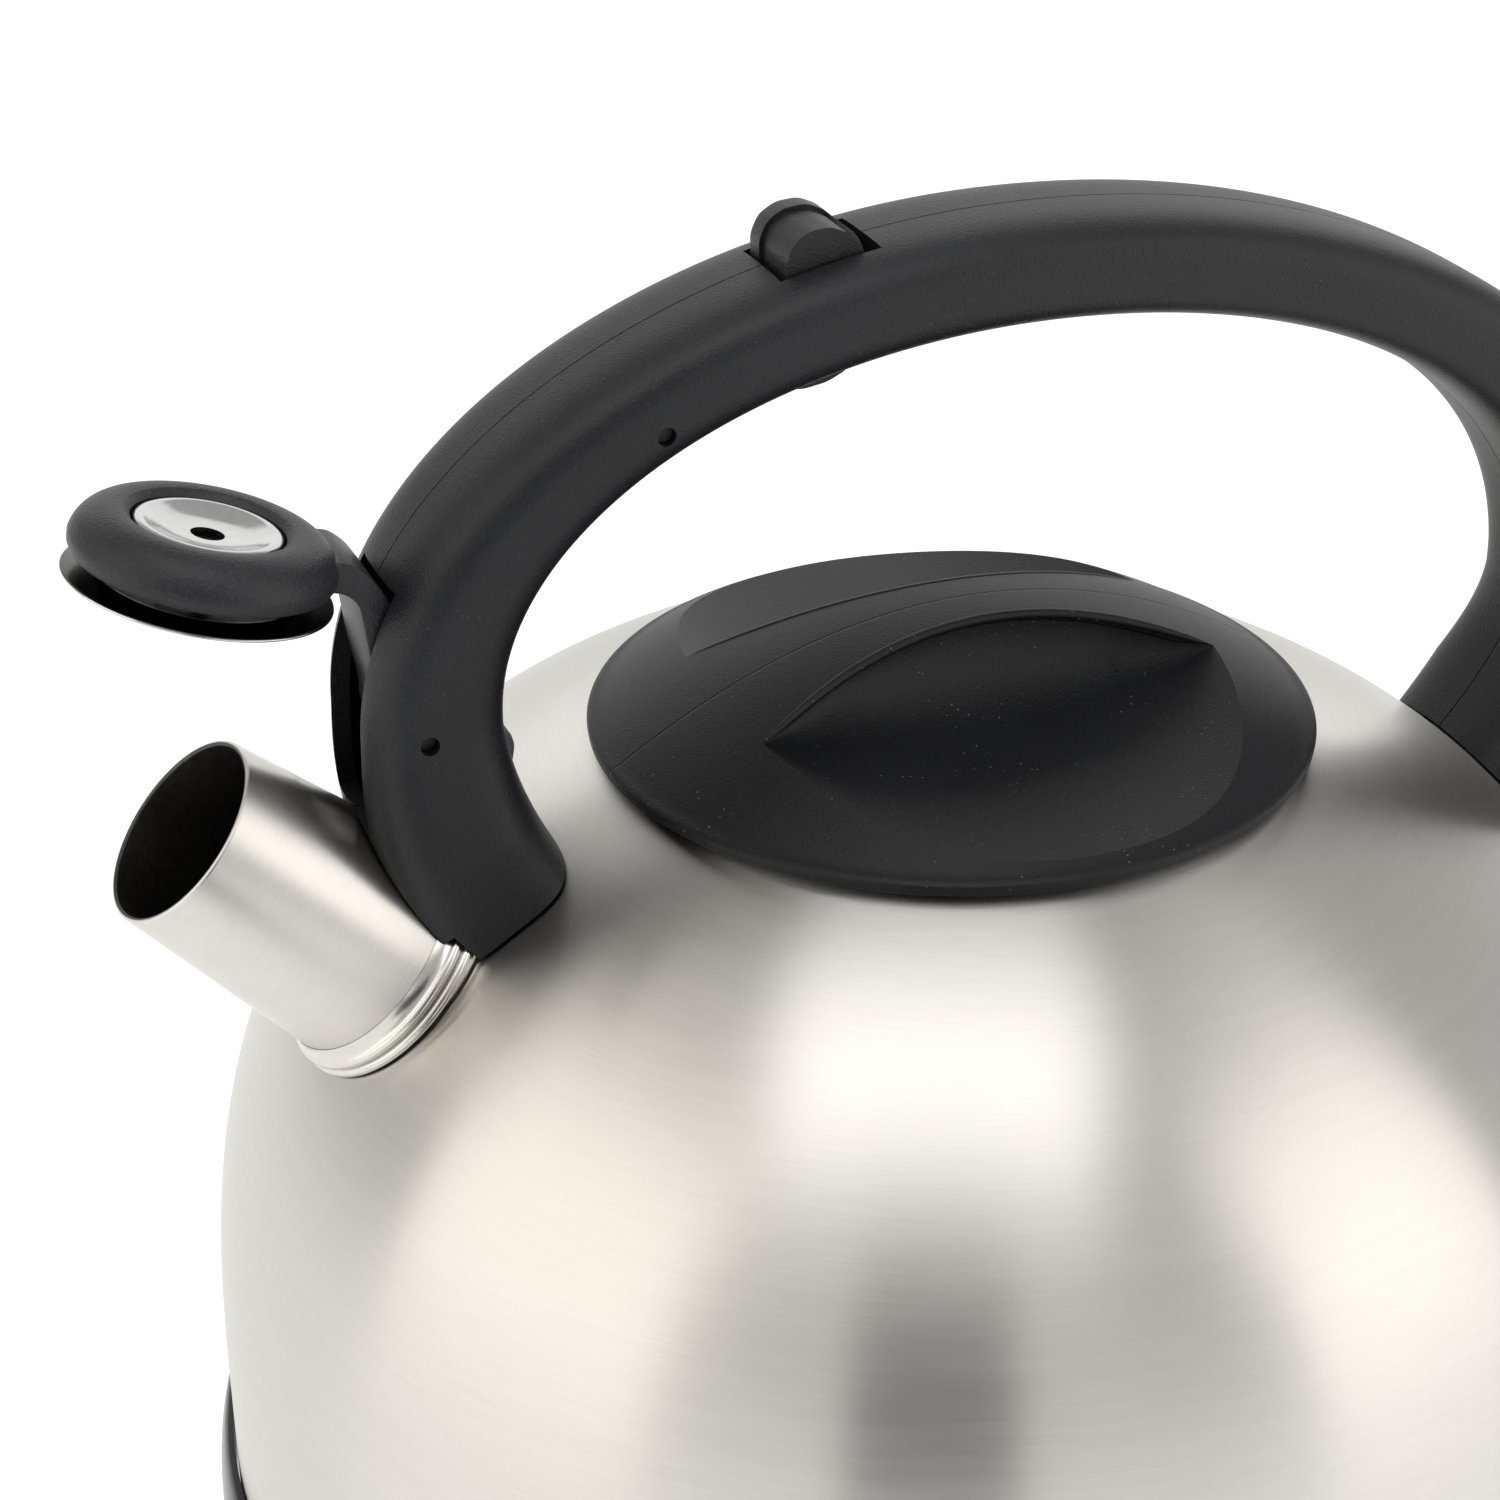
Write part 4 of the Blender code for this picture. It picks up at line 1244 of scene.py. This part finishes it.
@dataclass
class Lever:
    """Rocker with a thumb tab above the arch and a trigger below.  Sizes are in millimetres."""

    pivot: tuple[float, float] = (-47.0, 190.8)
    half: float = 5.8
    limb_half: float = 1.9
    limb_end: float = -50.0
    hub_half: float = 3.3
    hub_r: float = 2.9
    hub_end: float = -41.0
    edge: float = 0.7
    fork_half: float = 3.2
    slot_half: float = 1.85
    step: float = 0.6
    step_side: float = 2.4
    step_points: int = 30          # points of the outline that the step follows
    finish: Plastic = field(default_factory=lambda: Plastic(
        colour=(0.008, 0.0083, 0.0092), light=(0.015, 0.0155, 0.017), roughness=0.44, dust=0.2))

    def outline(self) -> Array:
        """Draw the side view: head, trigger, hub arcs and the limb to the fork.

        The head's first and last corners meet the limb, so they keep one point.

        Returns:
            (n, 2) corners.
        """
        extra = CURVE_POINTS - 1
        head = rounded(np.array([
            (-28.4, 203.0), (-27.9, 207.0), (-28.0, 209.4), (-26.8, 211.9), (-24.4, 213.3),
            (-21.2, 213.5), (-18.4, 212.2), (-16.9, 210.2), (-16.0, 207.6),
            (-15.9, 200.0), (-16.6, 195.2), (-18.8, 192.9), (-21.6, 191.6), (-25.0, 191.1),
            (-28.2, 191.5), (-30.6, 193.2)]), 1.0)[extra:-extra]
        limb = [(-32.0, 196.6), (-39.0, 193.4)]
        return np.vstack([head, limb, arc(self.pivot, self.hub_r, -35, -80, 8),
                          [(-57.0, 181.2), (-65.6, 173.0), (-70.4, 165.0), (-70.6, 158.0),
                           (-75.0, 160.4), (-74.0, 166.0), (-67.7, 176.4), (-58.3, 185.4)],
                          arc(self.pivot, self.hub_r, 190, 60, 16), [(-32.0, 200.0)]])

    def step_tool(self) -> bpy.types.Object:
        """Make the tool that lowers the near side of the tab's crest by the step.

        It lies between the crest moved out along its normal, clear of the
        tab, and the crest moved in by step.

        Returns:
            The tool.
        """
        clear, past = 3.0, -9.0 * MM
        crest = self.outline()[:self.step_points]
        way = np.gradient(crest, axis=0)
        out = np.stack([-way[:, 1], way[:, 0]], axis=-1) / np.linalg.norm(way, axis=1)[:, None]
        band = np.vstack([crest + clear * out, (crest - self.step * out)[::-1]]) * MM
        return prism("tab_step", band, past, self.step_side * MM)

    def side_tools(self) -> list[bpy.types.Object]:
        """Make the tools that thin the limb and the hub from both sides.

        Returns:
            The tools.
        """
        made = []
        for side in (-1, 1):
            for part, half, end in (("limb", self.limb_half, self.limb_end),
                                    ("hub", self.hub_half, self.hub_end)):
                low, high = sorted((side * half, side * THROUGH))
                made.append(box(f"{part}_side", (-95.0, low, 140.0), (end, high, 200.0)))
        return made

    def fork_points(self, tip: tuple[float, float], rows: Sequence[tuple[float, float]]) -> Array:
        """Points placed along and across the fork.

        Args:
            tip: The crank pin, which the fork points at.
            rows: Distances past the pin and across the fork.

        Returns:
            (n, 2) points in the XZ plane.
        """
        along = np.array(tip) - np.array(self.pivot)
        along /= np.linalg.norm(along)
        across = np.array([-along[1], along[0]])
        return np.array([np.array(tip) + along * a + across * b for a, b in rows])

    def build(self, whistle: Whistle) -> None:
        """Make, dress and ride the lever.

        Args:
            whistle: The whistle, whose crank pin the fork holds.
        """
        made = slab("thumb_rocker", self.outline(), self.half)
        soften(made, self.edge, 3)
        carve(made, [self.step_tool(), *self.side_tools()])
        h, w, pin = self.fork_half, self.slot_half, whistle.crank()
        prongs = [(0.9, h), (0.9, -h), (-9.5, -0.85 * h), (-9.5, -0.2 * h), (-5.5, h)]
        carve(made, [slab("fork", self.fork_points(pin, prongs), self.limb_half)], "UNION")
        slot = [(6.0, w), (6.0, -w), (-4.4, -w), (-4.4, w)]
        carve(made, [slab("slot", self.fork_points(pin, slot), self.half),
                     bore("hub_bore", self.pivot, PIVOT_BORE)])
        stand_in(made, "thumb_lever", "lever", self.finish.material("lever_satin"))


@dataclass
class Lid:
    """Crowned cover with two undercut finger scoops.  Sizes are in millimetres."""

    radius: float = 51.7
    rim: float = 136.6
    top: float = 153.9
    crown: float = 0.0064
    scoop_middle: float = 0.5
    scoop_reach: float = 35.0
    scoop_floor: float = 138.6
    scoop_rise: float = 6.2
    lip: float = 6.2
    lip_bend: float = 0.0054
    lip_middle: float = 4.0
    scoop_half: float = 38.0
    scoop_steps: int = 120
    sweep_steps: int = 21
    sweep_power: float = 0.9
    hollow: float = 21.0
    past_rim: float = 62.0
    above: float = 162.0
    lip_reach: float = 34.4
    bead: float = 0.75
    bead_steps: int = 90
    bead_sides: int = 12
    steps: int = 200
    finish: Plastic = field(default_factory=lambda: Plastic(
        colour=(0.0030, 0.0032, 0.0042), light=(0.0070, 0.0074, 0.0090), roughness=0.44,
        shine=0.26, dust=1.0, seam=0.0, depth=0.08 * MM))

    def lip_line(self, x: Array) -> tuple[Array, Array]:
        """Lip's distance from the middle and the cover's height there, at each x.

        They are lip + lip_bend * (x - lip_middle) ** 2 and
        top - crown * (x ** 2 + lip ** 2).

        Args:
            x: Places along the scoop.

        Returns:
            The distances and the heights.
        """
        lip = self.lip + self.lip_bend * (x - self.lip_middle) ** 2
        return lip, self.top - self.crown * (x * x + lip * lip)

    def cover(self) -> bpy.types.Object:
        """Turn the cover, whose height is top - crown * r * r, with a rounded rim.

        Returns:
            The cover before its scoops.
        """
        r = np.concatenate([np.linspace(0, 48, 33), [49.2, 50.2]])
        face = np.stack([r, self.top - self.crown * r * r], axis=-1)
        edge = bezier(face[-1], (51.3, 137.45), (51.7, 137.1), (self.radius, self.rim), 8)
        rest = np.array([(51.6, 135.9), (51.1, 135.45), (50.5, 135.4), (50.2, 135.6),
                         (49.3, 137.8), (6.0, 137.8), (6.0, 129.3), (2.3, 129.3), (2.3, 142.0),
                         (0.0, 142.0)])
        return lathe("lid_crown", np.vstack([face, edge, rest]) * MM, self.steps)

    def scoop(self, side: int) -> bpy.types.Object:
        """Make the tool for one scoop.

        At each x the section starts above the lip, drops past a small
        chamfer, goes under the lip, and sweeps down into a floor that runs
        straight out past the rim.  The sweep goes out by 1 - cos(a) ** power
        while it drops by 1 - sin(a) ** power, and the floor's height is
        floor + rise * |x / reach| ** 3 from the scoop's middle.  All that is
        under the lip shrinks with the height between lip and floor.

        Args:
            side: -1 near, 1 far.

        Returns:
            The tool.
        """
        x = np.linspace(self.scoop_middle - self.scoop_half,
                        self.scoop_middle + self.scoop_half, self.scoop_steps)
        lip, crest = self.lip_line(x)
        floor = self.scoop_floor + self.scoop_rise * \
            np.abs((x - self.scoop_middle) / self.scoop_reach) ** 3
        edge = np.maximum(crest, floor + 0.05)
        above, past = np.full_like(x, self.above), np.full_like(x, self.past_rim)
        tall = edge - floor
        thick, under = np.minimum(1.5, 0.3 * tall), np.minimum(2.6, 0.25 * tall)
        fall, chamfer = np.minimum(0.9, 0.1 * tall), np.minimum(0.4, 0.08 * tall)
        drop, reach = tall - thick - fall, np.minimum(self.hollow, 1.9 * tall)
        wall = lip - under
        rows = [(lip - chamfer, above), (lip - chamfer, edge + 0.1 * chamfer),
                (lip, edge - chamfer), (lip, edge - thick),
                (lip - 0.4 * under, edge - thick - 0.7 * fall), (wall, edge - thick - fall)]
        for angle in np.linspace(0, math.pi / 2, self.sweep_steps + 1)[1:]:
            rows.append((wall + reach * (1 - math.cos(angle) ** self.sweep_power),
                         floor + drop * (1 - math.sin(angle) ** self.sweep_power)))
        rows += [(past, floor), (past, above)]
        points = np.stack([np.repeat(x[:, None], len(rows), axis=1),
                           side * np.stack([a for a, _ in rows], axis=1),
                           np.stack([b for _, b in rows], axis=1)], axis=-1) * MM
        return sweep(f"scoop_{side}", points, side < 0)

    def lip_bead(self, side: int) -> bpy.types.Object:
        """Make the rounded band along a scoop's lip.

        It is a tube whose radius is bead * (1 - t ** 6) ** 0.5 at t from -1
        to 1 between the lip's ends, so it dies away into the cover.

        Args:
            side: -1 near, 1 far.

        Returns:
            The band.
        """
        t = np.linspace(-0.999, 0.999, self.bead_steps)
        x = self.scoop_middle + self.lip_reach * t
        lip, crest = self.lip_line(x)
        radius = self.bead * np.sqrt(1 - t ** 6)
        spine = np.stack([x, lip, crest - 0.8 * radius], axis=-1)
        way = np.gradient(spine, axis=0)
        way /= np.linalg.norm(way, axis=1)[:, None]
        across = np.cross(way, (0.0, 0.0, 1.0))
        across /= np.linalg.norm(across, axis=1)[:, None]
        over = np.cross(across, way)
        angle = np.linspace(0, 2 * math.pi, self.bead_sides + 1)[:-1]
        points = spine[:, None] + radius[:, None, None] * (
            np.cos(angle)[None, :, None] * across[:, None]
            + np.sin(angle)[None, :, None] * over[:, None])
        points[:, :, 1] *= side
        return sweep(f"lid_lip_{'near' if side < 0 else 'far'}", points * MM, False)

    def build(self) -> None:
        """Make, dress and ride the cover and its two lips."""
        cover = carve(self.cover(), [self.scoop(-1), self.scoop(1)], sharp=28.0)
        material = self.finish.material("lid_satin")
        stand_in(cover, "lid_cover", "lid", material)
        for side in (-1, 1):
            add_on(self.lip_bead(side), "lid", material)


@dataclass
class Hardware:
    """Finishes of the small pieces that keep their CAD shape."""

    steel: tuple[str, ...] = ("front_bracket", "rear_bracket", "lever_spring", "crank_pin",
                              "whistle_inner_disc", "lid_plug", "lid_washer", "lid_screw")
    # These pins are coloured near black as painted shade for the holes that they sit in.
    pins: tuple[str, ...] = ("whistle_pivot_pin", "lever_pivot_pin", "rear_handle_pin")

    def build(self, nodes: dict[str, bpy.types.Object]) -> None:
        """Dress the CAD nodes.

        Args:
            nodes: The frame's CAD nodes by name.
        """
        drawn = Steel(colour=(0.62, 0.61, 0.59), tint=(0.50, 0.49, 0.47),
                      roughness=0.32).material("drawn_steel")
        # Painted shade: near black so that the pin holes read as dark.
        dark = Plain(colour=(0.006, 0.006, 0.006), roughness=0.6).material("pins_painted_shade")
        seal = Plain(colour=(0.72, 0.71, 0.68), roughness=0.55).material("silicone_seal")
        for group, material in ((self.steel, drawn), (self.pins, dark), (("lid_seal",), seal)):
            for name in group:
                dress(nodes[name], material)
                LOG.info("%s keeps its CAD shape", name)


@dataclass(frozen=True)
class SoftBox:
    """One soft light: its middle, width and height in metres, watts and colour."""

    name: str
    place: tuple[float, float, float]
    size: tuple[float, float]
    power: float
    colour: Colour = (1.0, 1.0, 1.0)

    def light(self, aim: Sequence[float]) -> None:
        """Add the light.

        Args:
            aim: The point that it faces.
        """
        data = bpy.data.lights.new(self.name, "AREA")
        data.shape = "RECTANGLE"
        data.size, data.size_y = self.size
        data.energy = self.power
        data.color = self.colour
        obj = bpy.data.objects.new(self.name, data)
        bpy.context.scene.collection.objects.link(obj)
        obj.location = self.place
        way = Vector(aim) - Vector(self.place)
        obj.rotation_euler = way.to_track_quat("-Z", "Y").to_euler()


@dataclass
class Studio:
    """White floor, black flag, soft lights and camera.  Sizes are in metres."""

    camera_place: tuple[float, float, float] = (-0.18377, -0.37674, 0.35178)
    camera_right: tuple[float, float, float] = (0.92502, -0.37983, -0.00720)
    camera_up: tuple[float, float, float] = (0.18382, 0.43093, 0.88347)
    lens: float = 79.2
    sensor: float = 36.0
    clip: tuple[float, float] = (0.02, 20.0)
    room: float = 0.56
    room_colour: Colour = (1.0, 0.995, 0.985)
    floor_half: float = 9.0
    floor_height: float = -0.2 * MM
    floor_finish: Plain = field(default_factory=lambda: Plain(
        colour=(0.25, 0.25, 0.25), roughness=0.8, mottle=0.0, glow=3.7))
    flag_half: float = 0.075
    flag_span: tuple[float, float] = (0.004, 0.33)
    flag_place: tuple[float, float, float] = (-0.175, -0.36, 0.0)
    flag_turn: float = math.radians(-26.0)
    flag_finish: Plain = field(default_factory=lambda: Plain(
        colour=(0.01, 0.01, 0.01), roughness=0.9))
    aim: tuple[float, float, float] = (0.0, 0.0, 0.11)
    boxes: tuple[SoftBox, ...] = (
        SoftBox("box_left", (-1.15, -0.05, 0.62), (1.1, 1.3), 5.0, (1.0, 0.96, 0.89)),
        SoftBox("box_right", (0.85, -0.80, 0.60), (0.9, 1.3), 4.4, (1.0, 0.985, 0.96)),
        SoftBox("box_top", (-0.12, -0.24, 1.15), (0.8, 0.8), 3.7),
        SoftBox("box_back", (0.45, 1.15, 0.60), (1.9, 0.7), 3.0))

    def panel(self, name: str, corners: Array, material: bpy.types.Material) -> bpy.types.Object:
        """Make one flat four-cornered piece of the stage.

        Args:
            name: The panel's name.
            corners: (4, 3) corners in metres.
            material: Its material.

        Returns:
            The panel.
        """
        made = make_object(name, corners, [np.arange(4)[None, :]])
        dress(made, material)
        return made

    def build(self) -> None:
        """Make the floor, the flag, the world, the lights and the camera."""
        wide, height = self.floor_half, self.floor_height
        self.panel("floor", np.array([(-wide, -wide, height), (wide, -wide, height),
                                      (wide, wide, height), (-wide, wide, height)]),
                   self.floor_finish.material("floor_white"))
        wide, (low, high) = self.flag_half, self.flag_span
        upright = np.array([(-wide, 0, low), (wide, 0, low), (wide, 0, high), (-wide, 0, high)])
        turn = np.array(Matrix.Rotation(self.flag_turn, 3, "Z")).T
        flag = self.panel("flag", upright @ turn + np.array(self.flag_place),
                          self.flag_finish.material("flag_black"))
        flag.visible_camera = False
        world = bpy.data.worlds.new("room")
        bpy.context.scene.world = world
        world.use_nodes = True
        background = world.node_tree.nodes["Background"]
        background.inputs["Color"].default_value = (*self.room_colour, 1.0)
        background.inputs["Strength"].default_value = self.room
        for soft_box in self.boxes:
            soft_box.light(self.aim)
        bpy.context.scene.view_settings.view_transform = "Standard"
        self.camera()

    def camera(self) -> None:
        """Make the camera from its place and its right and up directions."""
        data = bpy.data.cameras.new("camera")
        data.lens = self.lens
        data.sensor_width = self.sensor
        data.clip_start, data.clip_end = self.clip
        camera = bpy.data.objects.new("camera", data)
        bpy.context.scene.collection.objects.link(camera)
        right, up = Vector(self.camera_right), Vector(self.camera_up)
        back = right.cross(up)
        turn = Matrix((right, up, back)).transposed().to_4x4()
        camera.matrix_world = Matrix.Translation(self.camera_place) @ turn
        bpy.context.scene.camera = camera


def main() -> None:
    """Load the frame and build the looks round it."""
    logging.basicConfig(level=logging.INFO, format="%(name)s: %(message)s")
    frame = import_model()
    vessel, spout, whistle = Vessel(), Spout(), Whistle()
    form = vessel.form()
    vessel.build(spout)
    spout.build(form)
    Handle().build(form, spout)
    bpy.data.objects.remove(form, do_unlink=True)
    whistle.build(spout)
    Lever().build(whistle)
    Lid().build()
    Hardware().build(frame["nodes"])
    Studio().build()


if __name__ == "__main__":
    main()
